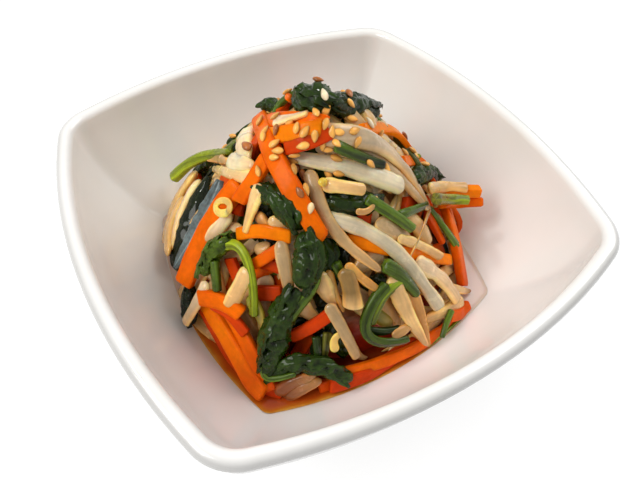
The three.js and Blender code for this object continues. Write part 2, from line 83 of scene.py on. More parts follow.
# The camera of the photograph, in the part's frame.
EYE = np.array([-54.5, -86.0, 149.5])
AZIMUTH, ELEVATION, ROLL = (math.radians(a) for a in (-32.5, 52.0, 2.65))
FOCAL = 527.0  # pixels
IMAGE_SIZE = (640, 480)


def unit(v):
    return v / np.maximum(np.linalg.norm(v, axis=-1, keepdims=True), 1e-12)


def turned(v, axis, angle):
    """v turned about a unit axis."""
    across = np.cross(axis, v)
    return v * math.cos(angle) + across * math.sin(angle) + axis * np.dot(axis, v) * (1 - math.cos(angle))


level = math.cos(ELEVATION)
FORWARD = np.array([-math.sin(AZIMUTH) * level, math.cos(AZIMUTH) * level, -math.sin(ELEVATION)])
RIGHT = turned(unit(np.cross(FORWARD, [0, 0, 1])), FORWARD, -ROLL)
UP = np.cross(RIGHT, FORWARD)


def sight_lines(pixels):
    """Directions of the lines of sight through points of the 640 by 480 picture."""
    u, v = np.asarray(pixels, float).T
    across = np.outer(u - IMAGE_SIZE[0] / 2, RIGHT)
    upward = np.outer(IMAGE_SIZE[1] / 2 - v, UP)
    return unit(FORWARD * FOCAL + across + upward)


# ---- smooth noise

LATTICE = 32  # values along each side of a block that repeats
_lattice = rng.random((LATTICE, LATTICE, LATTICE))


def noise(points, scale):
    """Smooth noise from 0 to 1 at points, with bumps about scale apart."""
    p = np.asarray(points) / scale
    cell = np.floor(p).astype(int)
    t = p - cell
    t = t * t * (3 - 2 * t)
    total = 0
    for corner in np.ndindex(2, 2, 2):
        weight = np.prod(np.where(corner, t, 1 - t), axis=-1)
        i, j, k = ((cell + corner) % LATTICE).T
        total = total + weight * _lattice[i, j, k]
    return total


def creases(points, scale, form):
    """Sharp creases between round bulges, from -1 to 1."""
    return (1 - 2 * np.abs(2 * noise(points, scale) - 1)).reshape(form)


def waver(run, way, scale):
    """Smooth noise along a piece, different for each piece."""
    return noise(np.outer(run, way) + rng.random(3) * 30, scale)


def spread_out(step):
    """Two shares, from 0 to 1, that fill a square evenly as the steps go on."""
    return (step * 0.618) % 1, (step * 0.7548) % 1


# ---- meshes


def placed(name, data):
    """A new object in the scene."""
    made = bpy.data.objects.new(name, data)
    bpy.context.scene.collection.objects.link(made)
    return made


class Mesh:
    """Closed lofts gathered into one mesh. Each vertex has a colour, and a flow: where it lies along and
    round its piece in millimetres, and a number of the piece's own."""

    def __init__(self):
        self.points, self.quads, self.tris, self.tones, self.flows = [], [], [], [], []
        self.count = 0

    def add_loft(self, rings, tones, flow=None):
        """Rings of equally many points, joined one to the next, with a cap at each end."""
        count, around = rings.shape[:2]
        index = np.arange(count * around).reshape(count, around)
        nxt = np.roll(index, -1, axis=1)
        quads = np.stack([index[:-1], index[1:], nxt[1:], nxt[:-1]], -1).reshape(-1, 4)
        columns = [rings, np.broadcast_to(tones, rings.shape), rings if flow is None else flow]
        columns = [np.vstack([c.reshape(-1, 3), c[0].mean(0), c[-1].mean(0)]) for c in columns]
        middle = np.full(around, count * around)
        first = np.stack([middle, index[0], nxt[0]], -1)
        last = np.stack([middle + 1, nxt[-1], index[-1]], -1)
        for store, values in zip((self.points, self.tones, self.flows), columns):
            store.append(values)
        self.quads.append(quads + self.count)
        self.tris.append(np.vstack([first, last]) + self.count)
        self.count += count * around + 2

    def arrays(self):
        return (np.vstack(a) for a in (self.points, self.quads, self.tris, self.tones, self.flows))

    def build(self, name, material, node, slot):
        """A smooth Blender object that rides on the part and stands for a node."""
        points, quads, tris, tones, flows = self.arrays()
        data = bpy.data.meshes.new(name)
        data.from_pydata((points * MM).tolist(), [], quads.tolist() + tris.tolist())
        data.polygons.foreach_set("use_smooth", np.ones(len(data.polygons), bool))
        tone = data.color_attributes.new("tone", "FLOAT_COLOR", "POINT")
        opaque = np.column_stack([tones, np.ones(len(tones))])
        tone.data.foreach_set("color", opaque.astype(np.float32).ravel())
        flow = data.attributes.new("flow", "FLOAT_VECTOR", "POINT")
        flow.data.foreach_set("vector", flows.astype(np.float32).ravel())
        data.materials.append(material)
        made = placed(name, data)
        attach(made, "root")
        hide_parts(node)


core, sprouts, carrots, leaves, stems, seeds = (Mesh() for _ in range(6))


# ---- bowl


def outline(half, corner, z, side_steps=20, corner_steps=8):
    """The bowl's outline at one height: four sides that bow outwards, and four round corners."""
    side_radius = BOW * half
    back = side_radius - half
    reach = side_radius - corner
    centre = (math.sqrt(2 * reach**2 - back**2) - back) / 2
    turn = math.atan2(centre, centre + back)
    side = np.linspace(-turn, turn, side_steps + 1)
    bend = np.linspace(turn, math.pi / 2 - turn, corner_steps + 1)[1:-1]
    x = np.concatenate([side_radius * np.cos(side) - back, centre + corner * np.cos(bend)])
    y = np.concatenate([side_radius * np.sin(side), centre + corner * np.sin(bend)])
    turns = [(x, y), (-y, x), (-x, -y), (y, -x)]
    return np.vstack([np.column_stack([a, b, np.full(len(a), z)]) for a, b in turns])


def opening(share):
    return (1 - (1 - share) ** WALL_POWER) ** (1 / WALL_POWER)


def inner_half(z):
    share = np.clip((z - FLOOR_TOP) / (RIM_HEIGHT - FLOOR_TOP), 0, 1)
    return FLOOR_HALF + (RIM_HALF - LIP_RADIUS - FLOOR_HALF) * opening(share)


def outer_half(z):
    share = np.clip((z - OUTER_BOTTOM) / (RIM_HEIGHT - OUTER_BOTTOM), 0, 1)
    half = FOOT_HALF + 1 + (RIM_HALF + LIP_RADIUS - FOOT_HALF - 1) * opening(share)
    below_lip = 1 - np.exp(-np.maximum(RIM_HEIGHT - z, 0) / 2.5)
    return half - LIP_UNDERCUT * below_lip * np.clip(share / 0.35, 0, 1)


def corner_at(z):
    return CORNER_FLOOR + (CORNER_RIM - CORNER_FLOOR) * np.clip(z / RIM_HEIGHT, 0, 1) ** 2


def make_bowl():
    rings = [outline(FLOOR_HALF * s, CORNER_FLOOR * s, FLOOR_TOP) for s in (0.1, 0.35, 0.65, 0.9)]
    for share in np.linspace(0, 1, 30)[:-1] ** 2:
        z = FLOOR_TOP + share * (RIM_HEIGHT - FLOOR_TOP)
        rings.append(outline(inner_half(z), corner_at(z) - share * LIP_RADIUS, z))
    for t in np.linspace(math.pi, 0, 13):
        across = LIP_RADIUS * math.cos(t)
        rings.append(outline(RIM_HALF + across, CORNER_RIM + across, RIM_HEIGHT + LIP_RADIUS * math.sin(t)))
    for share in np.linspace(1, 0, 24)[1:] ** 2:
        z = OUTER_BOTTOM + share * (RIM_HEIGHT - OUTER_BOTTOM)
        half = outer_half(z)
        rings.append(outline(half, corner_at(z) + half - inner_half(z) - share * LIP_RADIUS, z))
    foot = [(0, 0.8), (-0.3, 0.25), (-0.8, 0), (0.8 - FOOT_WIDTH, 0), (0.3 - FOOT_WIDTH, 0.25)]
    foot += [(-FOOT_WIDTH - 0.2, 1.6), (-FOOT_WIDTH - 1, FOOT_RECESS), (-FOOT_HALF * 0.9, FOOT_RECESS)]
    for across, z in foot:
        rings.append(outline(FOOT_HALF + across, CORNER_FLOOR * (1 + across / FOOT_HALF), z))
    rings = np.array(rings)
    lip_top = 38.5  # counted in rings
    # Painted shade: the outside, from just past the lip's top downwards, is darkened.
    outside = np.clip((np.arange(len(rings)) - lip_top) / 4, 0, 1)
    mesh = Mesh()
    mesh.add_loft(rings, (1 - PAINTED_OUTSIDE_SHADE * outside)[:, None, None])
    return mesh


# ---- mound


def unstretched(points):
    x, y = points[..., 0] - MOUND_X, points[..., 1] - MOUND_Y
    less = (x * math.cos(WIDEST) + y * math.sin(WIDEST)) * (1 / STRETCH - 1)
    return x + less * math.cos(WIDEST), y + less * math.sin(WIDEST)


def stretched(x, y):
    more = (x * math.cos(WIDEST) + y * math.sin(WIDEST)) * (STRETCH - 1)
    return MOUND_X + x + more * math.cos(WIDEST), MOUND_Y + y + more * math.sin(WIDEST)


def mound_height(rho):
    return MOUND_BASE + (MOUND_TOP - MOUND_BASE) * (1 - (rho / MOUND_RADIUS) ** MOUND_POWER)


def mound_steepness(rho):
    rise = (MOUND_TOP - MOUND_BASE) / MOUND_RADIUS
    return rise * MOUND_POWER * (rho / MOUND_RADIUS) ** (MOUND_POWER - 1)


def standoff(points):
    """Distance of points from the mound's surface."""
    rho = np.hypot(*unstretched(points))
    return (points[..., 2] - mound_height(rho)) / np.hypot(1, mound_steepness(rho))


def mound_normal(points):
    x, y = unstretched(points)
    rho = np.maximum(np.hypot(x, y), 1.5)
    steep = mound_steepness(rho) / rho
    return unit(np.stack([x * steep, y * steep, np.ones_like(x)], -1))


# ---- laying pieces on the mound

FUSE = 0.86  # pieces press into each other a little where they cross
BEND_RADIUS = 22.0  # tightest curve that a piece takes over what it lies on
WALL_GAP = 0.3
RESTING = 0.7  # how far off the mound a piece's middle lies, as a share of its radius
NEARBY = 14.0  # further off, the pieces that lie there are passed over
CLEAR = -9.0  # stands for nothing in the way
placed_at, placed_radius = [], []


def half_through(points):
    """Half width of the bowl's outline that runs through points."""
    towards_side = (BOW - 1) * np.abs(points[:, :2]).max(1)
    spread = 2 * BOW - 1
    return (towards_side + np.sqrt(towards_side**2 + spread * (points[:, :2] ** 2).sum(1))) / spread


def inside_bowl(points, reach, sunk=0.0):
    """Points kept off the bowl's wall and above the broth, or sunk in it so far."""
    points = points.copy()
    points[:, 2] = np.maximum(points[:, 2], BROTH_LEVEL + reach - sunk)
    room = inner_half(points[:, 2] - reach) - reach - WALL_GAP
    points[:, :2] *= np.minimum(1, room / np.maximum(half_through(points), 1e-6))[:, None]
    return points


def smoothed(values, times=2):
    for _ in range(times if len(values) > 2 else 0):
        middle = (values[:-2] + 2 * values[1:-1] + values[2:]) / 4
        values = np.concatenate([values[:1], middle, values[-1:]])
    return values


def along(points, count):
    """Evenly spaced points on the smooth curve through a few points."""
    points = np.asarray(points, float)
    if len(points) == 2:
        return points[0] + np.linspace(0, 1, count)[:, None] * (points[1] - points[0])
    padded = np.vstack([2 * points[0] - points[1], points, 2 * points[-1] - points[-2]])
    fine = []
    for a, b, c, d in zip(padded[:-3], padded[1:-2], padded[2:-1], padded[3:]):
        t = np.linspace(0, 1, 24, endpoint=False)[:, None]
        square, cube = 2 * a - 5 * b + 4 * c - d, 3 * b - a - 3 * c + d
        fine.append(0.5 * (2 * b + (c - a) * t + square * t**2 + cube * t**3))
    fine = np.vstack([*fine, points[-1:]])
    length = np.concatenate([[0], np.cumsum(np.linalg.norm(np.diff(fine, axis=0), axis=1))])
    spots = np.linspace(0, length[-1], count)
    return np.column_stack([np.interp(spots, length, column) for column in fine.T])


def lay(at, out, radii, reach=None, lift=0.0, sunk=0.0, cap=None):
    """Slides a chain of beads out until it clears the mound and what lies there. Returns its line. A cap is
    how far off the mound it may come to lie."""
    radii = np.full(len(at), radii)
    need = radii * RESTING
    if placed_at:
        others, other_radii = np.vstack(placed_at), np.concatenate(placed_radius)
        middle = at.mean(0)
        span = np.linalg.norm(at - middle, axis=1).max() + NEARBY
        near = np.linalg.norm(others - middle, axis=1) < span
        others, other_radii = others[near], other_radii[near]
        to = others[None] - at[:, None]
        ahead = np.einsum("ijk,ik->ij", to, out)
        aside2 = (to**2).sum(2) - ahead**2
        room2 = ((other_radii[None] + radii[:, None]) * FUSE) ** 2
        climb = np.where(aside2 < room2, ahead + np.sqrt(np.maximum(room2 - aside2, 0)), CLEAR)
        if climb.shape[1]:
            need = np.maximum(need, climb.max(1))
    apart2 = ((at[None] - at[:, None]) ** 2).sum(2)
    lifted = smoothed((need[None] - apart2 / (2 * BEND_RADIUS)).max(1) + lift)
    if cap is not None:
        lifted = np.minimum(lifted, cap - standoff(at))
    line = inside_bowl(at + out * lifted[:, None], radii if reach is None else reach, sunk)
    line = smoothed(line, 1)
    placed_at.append(line)
    placed_radius.append(radii)
    return line


def on_mound(pixels):
    """Where lines of sight meet the mound, or pass closest to it, and the ways back to the eye."""
    ways = sight_lines(pixels)
    far = np.arange(60, 240, 0.25)  # steps along a line of sight
    points = EYE + ways[:, None] * far[:, None]
    gap = standoff(points)
    hit = gap <= 0
    first = np.where(hit.any(1), hit.argmax(1), gap.argmin(1))
    return points[np.arange(len(ways)), first], -ways


def in_picture(route, count, touch):
    """The beads of a piece whose route is given in the picture, as x and y in turn. Its closest bead comes at
    least this near the mound."""
    at, out = on_mound(along(np.reshape(route, (-1, 2)), count))
    gap = standoff(at)
    closest = gap.argmin()
    at = at + mound_normal(at[closest]) * min(0, touch - gap[closest])
    return smoothed(at, 3), out


def around_mound(bearing, share, heading, length, count, sink):
    """The beads of a piece that crosses a spot on the mound, sunk so far below its surface."""
    middle = np.array([math.cos(bearing), math.sin(bearing)]) * share * MOUND_RADIUS
    slope = math.hypot(1, mound_steepness(share * MOUND_RADIUS))
    downhill = unit(middle)
    level = np.array([-downhill[1], downhill[0]])
    run = np.linspace(-0.5, 0.5, count)[:, None] * length
    bend = rng.normal(0, 0.12) * (run**2 / length - length / 12)
    p = middle + downhill * (math.cos(heading) * run - math.sin(heading) * bend) / slope
    p = p + level * (math.sin(heading) * run + math.cos(heading) * bend)
    rho = np.linalg.norm(p, axis=1)
    p = p * np.minimum(1, MOUND_RADIUS * 0.99 / np.maximum(rho, 1e-6))[:, None]
    rho = np.linalg.norm(p, axis=1)
    x, y = stretched(p[:, 0], p[:, 1])
    at = np.column_stack([x, y, mound_height(rho)])
    out = mound_normal(at)
    return at - out * sink, out


# ---- forms of the pieces


def srgb(red, green, blue):
    """A colour given as it looks on a screen, from 0 to 255, as the renderer counts light."""
    c = np.array([red, green, blue]) / 255
    return np.where(c < 0.04, c / 12.92, ((c + 0.055) / 1.055) ** 2.4)


CREAM = srgb(232, 190, 128)
MILK = srgb(232, 204, 164)
GREYISH = srgb(190, 160, 116)
STRAW = srgb(200, 152, 90)
AMBER = srgb(208, 150, 74)
YELLOW = srgb(228, 196, 70)
PALE = srgb(216, 202, 172)
BROWN = srgb(136, 86, 44)
BRIGHT_ORANGE = srgb(246, 130, 2)
ORANGE = srgb(238, 108, 2)
DEEP_ORANGE = srgb(214, 80, 4)
RED_ORANGE = srgb(196, 62, 8)
LEAF_GREEN = srgb(32, 50, 8)
BLACK_GREEN = srgb(18, 26, 8)
# A painted reflection: the sheen on a wet leaf, given as a grey-blue colour.
PAINTED_SHEEN_GREY = srgb(92, 106, 108)
STEM_GREEN = srgb(86, 112, 26)
BRIGHT_GREEN = srgb(160, 178, 30)
OLIVE = srgb(118, 116, 40)
SESAME = srgb(234, 172, 84)
SESAME_DARK = srgb(160, 96, 46)
WHITE_SESAME = srgb(236, 222, 190)
# The mound's inside: dark colours that paint the shade in the chinks between the pieces.
CORE_SHADE_DARK, CORE_SHADE_LIGHT = srgb(96, 66, 28), srgb(180, 126, 62)
BROTH_RED = srgb(150, 34, 8)  # what the foot of the core is stained with
LOW_CARROT = srgb(206, 60, 12)  # what carrot reddens to low down
# Painted light and shade on a sprout: how much brighter its edges are painted, as a glow of light through the
# flesh, and how much darker its underside is painted, as shade.
PLAIN, SPROUT_EDGE_GLOW, SPROUT_UNDERSIDE_SHADE = np.ones(3), np.array([1.7, 1.46, 1.1]), np.array([0.95, 0.75, 0.5])


def frames(at, twist=0.0):
    """Two directions across a line: along the surface below it, and away from that surface."""
    tangent = unit(np.gradient(at, axis=0))
    side = unit(np.cross(tangent, mound_normal(at)))
    outwards = np.cross(side, tangent)
    cos, sin = np.cos(twist)[..., None], np.sin(twist)[..., None]
    return tangent, side * cos + outwards * sin, outwards * cos - side * sin


def shares(steps):
    """Shares of a length, set closer together towards both ends."""
    even = np.linspace(0, 1, steps)
    return 0.45 * even + 0.55 * (1 - np.cos(np.pi * even)) / 2


def length_of(line):
    return np.linalg.norm(np.diff(line, axis=0), axis=1).sum()


def at_shares(line, where, twist):
    fine = along(line, 4 * len(where))
    even = np.linspace(0, 1, len(fine))
    at = np.column_stack([np.interp(where, even, column) for column in fine.T])
    return at, length_of(fine), frames(at, np.asarray(twist))


def rounding(where, length, radius, ends=(1, 1)):
    """How much narrower a round end is, for each share of the length."""
    factor = np.ones_like(where)
    for from_end, use in ((where, ends[0]), (1 - where, ends[1])):
        near = np.clip(1 - from_end * length / np.maximum(radius * use, 1e-3), 0, 0.985)
        factor *= np.sqrt(1 - near**2)
    return factor


def sweep(mesh, line, where, section, tones, twist=0.0, slant=0.0):
    """Sweeps closed sections, given across and outwards, along a line."""
    at, length, (tangent, side, outwards) = at_shares(line, where, twist)
    rings = at[:, None] + section[..., :1] * side[:, None] + section[..., 1:] * outwards[:, None]
    rings = rings + tangent[:, None] * section[..., :1] * (slant * (2 * where - 1) ** 9)[:, None, None]
    around = np.arange(section.shape[1])
    flow = np.zeros(rings.shape)
    flow[..., 0] = (where * length)[:, None]
    flow[..., 1] = np.hypot(section[..., 0], section[..., 1]).max() * around * 2 * np.pi / len(around)
    flow[..., 2] = rng.random() * 100
    mesh.add_loft(rings, tones, flow)


def circle_of(sides):
    """Evenly spaced angles of a full turn."""
    return np.linspace(0, 2 * np.pi, sides, endpoint=False)


def between(low, high, share):
    """Colours from low to high."""
    share = np.clip(np.asarray(share), 0, 1)[..., None]
    return low * (1 - share) + high * share


# Each of these adds a piece to the mesh of its kind. spots are its beads and the ways they slide out.


def sprout(spots, thick, thin, tone=CREAM, tip=None, tail=0.0, steps=34, sides=18, ends=(1.3, 2.4), **laying):
    """A bean sprout: a wet, flattened stalk with clear flesh, painted brighter at its edges as a glow of
    light through it and painted darker below as shade, drawn out to a root if it has a tail."""
    at, out = spots
    share = np.linspace(0, 1, len(at))
    line = lay(at, out, (thick + (thin - thick) * share**1.5) * 0.76, **laying)
    where = shares(steps)
    length = length_of(line)
    radius = thick + (thin - thick) * where**1.5
    if tail:
        rest = np.clip((where - 1 + tail) / tail, 0, 1)
        radius = radius * (1 - rest) ** 0.8 + 0.3 * rest
    run = where * length
    uneven = waver(run, [1, 0, 0], 3.4) - 0.5
    finer = waver(run, [0, 1, 0], 1.3) - 0.5
    radius = radius * (1 + 0.3 * uneven + 0.09 * finer) * rounding(where, length, radius, ends)
    theta = circle_of(sides)
    flat = 0.3 * (waver(run, [0, 1, 0], 6.0) - 0.5)
    fibres = np.cos(7 * theta + rng.random() * 6) + np.cos(4 * theta + rng.random() * 6)
    wide = np.outer(1.1 + 0.5 * flat, np.cos(theta) * (1 + 0.02 * fibres))
    high = np.outer(0.68 - flat, np.sin(theta) * (1 + 0.03 * fibres))
    section = radius[:, None, None] * np.stack([wide, high], -1)
    ageing = np.clip(where * 1.5 - 0.5, 0, 1) * 0.6 if tip is None else np.clip((where - 0.55) / 0.45, 0, 1)
    tones = between(tone, STRAW if tip is None else tip, ageing)
    tones = tones * (0.84 + 0.32 * waver(run, [0, 0, 1], 4.0))[:, None]
    # Painted light and shade: the edges are painted brighter, as a glow through the flesh, and the underside
    # darker, as shade.
    edge = np.clip((np.abs(np.cos(theta)) - 0.62) / 0.3, 0, 1)
    below = np.clip(-np.sin(theta), 0, 1)
    shade = between(PLAIN, SPROUT_EDGE_GLOW, edge) * between(PLAIN, SPROUT_UNDERSIDE_SHADE, below)
    tones = tones[:, None] * (shade * (1 - 0.025 * fibres)[:, None])[None]
    sweep(sprouts, line, where, section, tones, twist=np.linspace(0, rng.normal(0, 0.6), steps))


def carrot(spots, width, tone=ORANGE, height=0.5, twist=0.0, point=0.0, steps=22, slant=None, **laying):
    """A carrot strip: a bar with cut faces, soft edges and square or pointed ends."""
    at, out = spots
    x, y = width / 2, width * height / 2
    reach = math.hypot(x * math.cos(twist), y * math.sin(twist))
    line = lay(at, out, (x + y) / 2, reach=reach, **laying)
    where = shares(steps)
    theta = circle_of(20) + np.pi / 20
    cos, sin = np.cos(theta), np.sin(theta)
    box = np.stack([x * np.sign(cos) * np.abs(cos) ** 0.34, y * np.sign(sin) * np.abs(sin) ** 0.34], -1)
    length = length_of(line)
    ends = 0.82 + 0.18 * rounding(where, length, 0.5)
    narrow = np.clip((where - 1 + point) / point, 0, 1) if point else np.zeros(steps)
    wobble = waver(where * length, [1, 0.3, 0], 5.0) - 0.5
    section = box[None] * (ends * (1 - 0.85 * narrow) * (1 + 0.16 * wobble))[:, None, None]
    # Darker and redder towards the corners of the section and in patches along the strip.
    darker_redder = 1.2 * np.abs(cos * sin)[None] + 0.7 * (wobble[:, None] + 0.3)
    tones = between(tone * [1.04, 1.12, 1.2], tone * [0.86, 0.68, 0.64], darker_redder)
    height_there = np.interp(where, np.linspace(0, 1, len(line)), line[:, 2])
    tones = between(tones, LOW_CARROT, 0.6 * np.clip((24 - height_there) / 9, 0, 1)[:, None])
    slant = rng.normal(0, 0.25) if slant is None else slant
    turning = np.linspace(twist - 0.1, twist + 0.1, steps)
    sweep(carrots, line, where, section, tones, twist=turning, slant=slant)


def stem(spots, radius, tone=STEM_GREEN, tip=None, thin=None, groove=0.24, steps=24, **laying):
    """A spinach stem: a round stalk with a groove along it."""
    at, out = spots
    line = lay(at, out, radius * 0.9, **laying)
    where = shares(steps)
    length = length_of(line)
    theta = circle_of(16)
    size = radius + ((thin or radius * 0.85) - radius) * where
    size = size * (1 + 0.12 * (waver(where * length, [1, 0, 0], 4.0) - 0.5))
    size = size * rounding(where, length, size, (0.35, 0.35))
    away = np.angle(np.exp(1j * (theta - np.pi / 2 - rng.normal(0, 0.5))))
    channel = np.exp(-(away**2) / 0.18)
    furrows = 0.5 - 0.5 * np.cos(5 * theta + rng.random() * 6)
    dent = 1 - groove * channel - 0.1 * furrows
    section = size[:, None, None] * np.stack([np.cos(theta) * dent * 1.05, np.sin(theta) * dent * 0.92], -1)
    tones = between(tone, tone * 0.5 if tip is None else tip, where**1.3)
    # Painted shade: darker in the groove and the furrows, lighter on the ridges between them.
    tones = tones[:, None] * (1.3 - 0.5 * channel - 0.55 * furrows)[:, None]
    sweep(stems, line, where, section, tones, twist=np.linspace(0, rng.normal(0, 0.7), steps))


def leaf(spots, width, tone=LEAF_GREEN, crumple=1.0, curl=0.5, steps=34, line=None, turn=0.0, **laying):
    """A limp spinach leaf: a thin sheet, folded, crumpled and ruffled at its edges."""
    if line is None:
        at, out = spots
        line = lay(at, out, 0.9, reach=width * 0.4, **laying)
    where = np.linspace(0, 1, steps)
    v = np.linspace(-1, 1, 15)
    taper = np.sin(np.pi * np.clip(where * 0.94 + 0.04, 0.02, 0.98)) ** 0.5
    start = rng.random(3) * 60
    run = where * length_of(line)
    ragged = 1 + 0.4 * (noise(np.outer(run, [1, 0, 0]) + start, 2.6) - 0.5)
    half = (width / 2 * taper * ragged)[:, None]
    spot = np.stack(np.broadcast_arrays(run[:, None], v[None] * width / 2, 0.0), -1).reshape(-1, 3) + start
    form = (steps, len(v))
    folds = creases(spot * [0.55, 1.2, 1], 2.4, form)
    small = creases(spot + 9, 1.1, form)
    ruffle = np.sin(run[:, None] * 1.7 + 2 * v[None] + start[0]) * v[None] ** 4
    rise = crumple * (0.75 * folds + 0.3 * small + 0.5 * ruffle) - curl * width * 0.22 * v[None] ** 2
    thick = 0.2 * (1 - 0.6 * v[None] ** 6)
    aside = v[None] * half * (1 - 0.12 * folds)
    top = np.stack([aside, rise + thick], -1)
    bottom = np.stack([aside, rise - thick], -1)
    section = np.concatenate([top[:, ::-1], bottom], 1)
    vein = np.exp(-((v / 0.1) ** 2))
    # Painted shade: darker in the creases of the folds and lighter on their ridges, over random patches; the
    # veins are lighter.
    shade = 0.7 + 0.35 * folds + 0.5 * noise(spot + 30, 3.0).reshape(form)
    tones = tone * np.clip(shade, 0.3, 1.6)[..., None] * (1 + 1.2 * vein[None, :, None])
    tones = np.concatenate([tones[:, ::-1], tones], 1)
    sweep(leaves, line, where, section, tones, twist=turn + np.linspace(0, rng.normal(0, 0.4), steps))


def spinach(spots, radius, tone=LEAF_GREEN, crumple=1.0, steps=50, sides=44, sheets=3, flat=0.9, **laying):
    """Wet leaf gathered into a bundle, with deep creases, and loose leaf on it."""
    at, out = spots
    share = np.linspace(0, 1, len(at))
    line = lay(at, out, radius * (0.62 + 0.38 * np.sin(np.pi * share)) * 0.85, **laying)
    where = shares(steps)
    length = length_of(line)
    theta = circle_of(sides)
    size = radius * (0.6 + 0.4 * np.sin(np.pi * where)) * rounding(where, length, radius)
    start = rng.random(3) * 60
    wound = theta[None] + (where * length * rng.normal(0, 0.16))[:, None]
    x, y = radius * np.cos(wound), radius * np.sin(wound)
    spot = np.stack(np.broadcast_arrays((where * length)[:, None], x, y), -1).reshape(-1, 3) + start
    form = (steps, sides)
    big = creases(spot * [0.7, 1, 1], 1.9, form)
    small = creases(spot + 17, 0.95, form)
    relief = 1 + crumple * (0.34 * big + 0.09 * small)
    section = size[:, None, None] * relief[..., None] * np.stack([np.cos(theta), flat * np.sin(theta)], -1)
    # Painted shade: darker in the creases, lighter on the bulges between them.
    tones = tone * np.clip(0.75 + 0.65 * big + 0.45 * small, 0.2, 2.2)[..., None]
    sweep(leaves, line, where, section, tones)
    _, side, outwards = frames(line)
    for _ in range(sheets):
        angle = rng.uniform(0.1, 0.9) * math.pi
        way = side * math.cos(angle) + outwards * math.sin(angle)
        loose = line + way * radius * rng.uniform(0.5, 0.8) + unit(line[-1] - line[0]) * rng.normal(0, 0.7)
        width = radius * rng.uniform(1.2, 1.9)
        sheet_steps = steps // 2 + 1
        leaf(None, width, tone, 0.7 * crumple, 0.6, sheet_steps, line=loose, turn=angle - math.pi / 2)


def kernel(at, normal, heading, size, tone):
    """A sesame seed: a flat drop, pointed at one end."""
    length, width, thickness = size
    up = unit(normal)
    ahead = unit(heading - up * np.dot(heading, up))
    side = np.cross(up, ahead)
    theta = circle_of(14)
    rings, tones, flow = [], [], []
    for t in np.linspace(0.06, np.pi - 0.06, 11):
        x = -math.cos(t)
        girth = math.sin(t) * (1 - 0.35 * max(x, -0.2))
        across, high = girth * np.cos(theta), girth * np.sin(theta)
        ring = np.outer(across * width / 2, side) + np.outer(high * thickness / 2, up)
        rings.append(at + ahead * (x * length / 2) + ring)
        # Darker towards the pointed end; painted shade at the sides leaves the middle lighter.
        shade = (1.06 - 0.34 * max(x, 0) ** 2) * (1.2 - 0.55 * np.cos(theta) ** 2)
        tones.append(shade[:, None] * tone * np.array([1, 0.96, 0.9]))
        spot = (x * length, across * width, at.sum())
        flow.append(np.column_stack(np.broadcast_arrays(*spot)))
    seeds.add_loft(np.array(rings), np.array(tones), np.array(flow))


def seed(surface, origin, way, tone=SESAME, size=(3.1, 1.8, 1.15)):
    """A sesame seed, lying where a line from a point first meets the food."""
    at, normal, _, _ = surface.ray_cast(Vector(origin), Vector(way))
    if at is None or at.z < BROTH_LEVEL + 2:
        return
    at, normal = np.array(at), np.array(normal)
    normal = unit(normal + 0.5 * mound_normal(at) + rng.normal(0, 0.14, 3))
    across = unit(np.cross(normal, [0.3, 0.2, 1]))
    turn = rng.random() * 2 * math.pi
    ahead = across * math.cos(turn) + np.cross(normal, across) * math.sin(turn)
    size = np.array(size) * rng.uniform(0.92, 1.06)
    kernel(at + normal * size[2] * 0.36, normal, ahead, size, tone * rng.uniform(0.85, 1.12))


# ---- what the mound is made of


def make_core():
    """The inside of the mound, which shows only in the chinks between the pieces, coloured dark there as
    painted shade.
    """
    bearing = circle_of(96)
    levels = [(mound_height(rho), rho) for rho in np.linspace(0.3, MOUND_RADIUS, 60)]
    levels += [(BROTH_LEVEL - 1.5, MOUND_RADIUS - 7), (FLOOR_TOP + 1.5, MOUND_RADIUS - 22)]
    rings = []
    for z, rho in levels:
        x, y = stretched(rho * np.cos(bearing), rho * np.sin(bearing))
        rings.append(np.column_stack(np.broadcast_arrays(x, y, z)))
    rings = np.array(rings)
    flat = rings.reshape(-1, 3)
    inward = 5.2 + 2.4 * (noise(flat, 5.0) - 0.5) + 1.0 * (noise(flat + 40, 1.8) - 0.5)
    flat = flat - mound_normal(flat) * inward[:, None]
    flat = inside_bowl(flat, 0.5, sunk=9.0)
    rings = flat.reshape(rings.shape)[::-1]
    shade = noise(flat[::-1] + 70, 4.0)[:, None]
    tones = CORE_SHADE_DARK * (1 - shade) + CORE_SHADE_LIGHT * shade
    low = np.clip((26 - flat[::-1][:, 2:]) / 8, 0, 1)
    tones = tones * (1 - low) + BROTH_RED * low
    core.add_loft(rings, tones.reshape(rings.shape))


EVEN_MIX = (0.6, 0.14, 0.13, 0.13)  # how likely sprouts, carrot strips, spinach and stems are
ONLY_SPROUTS = 0.9  # how much in line with the widest bearing a spot is that takes nothing else


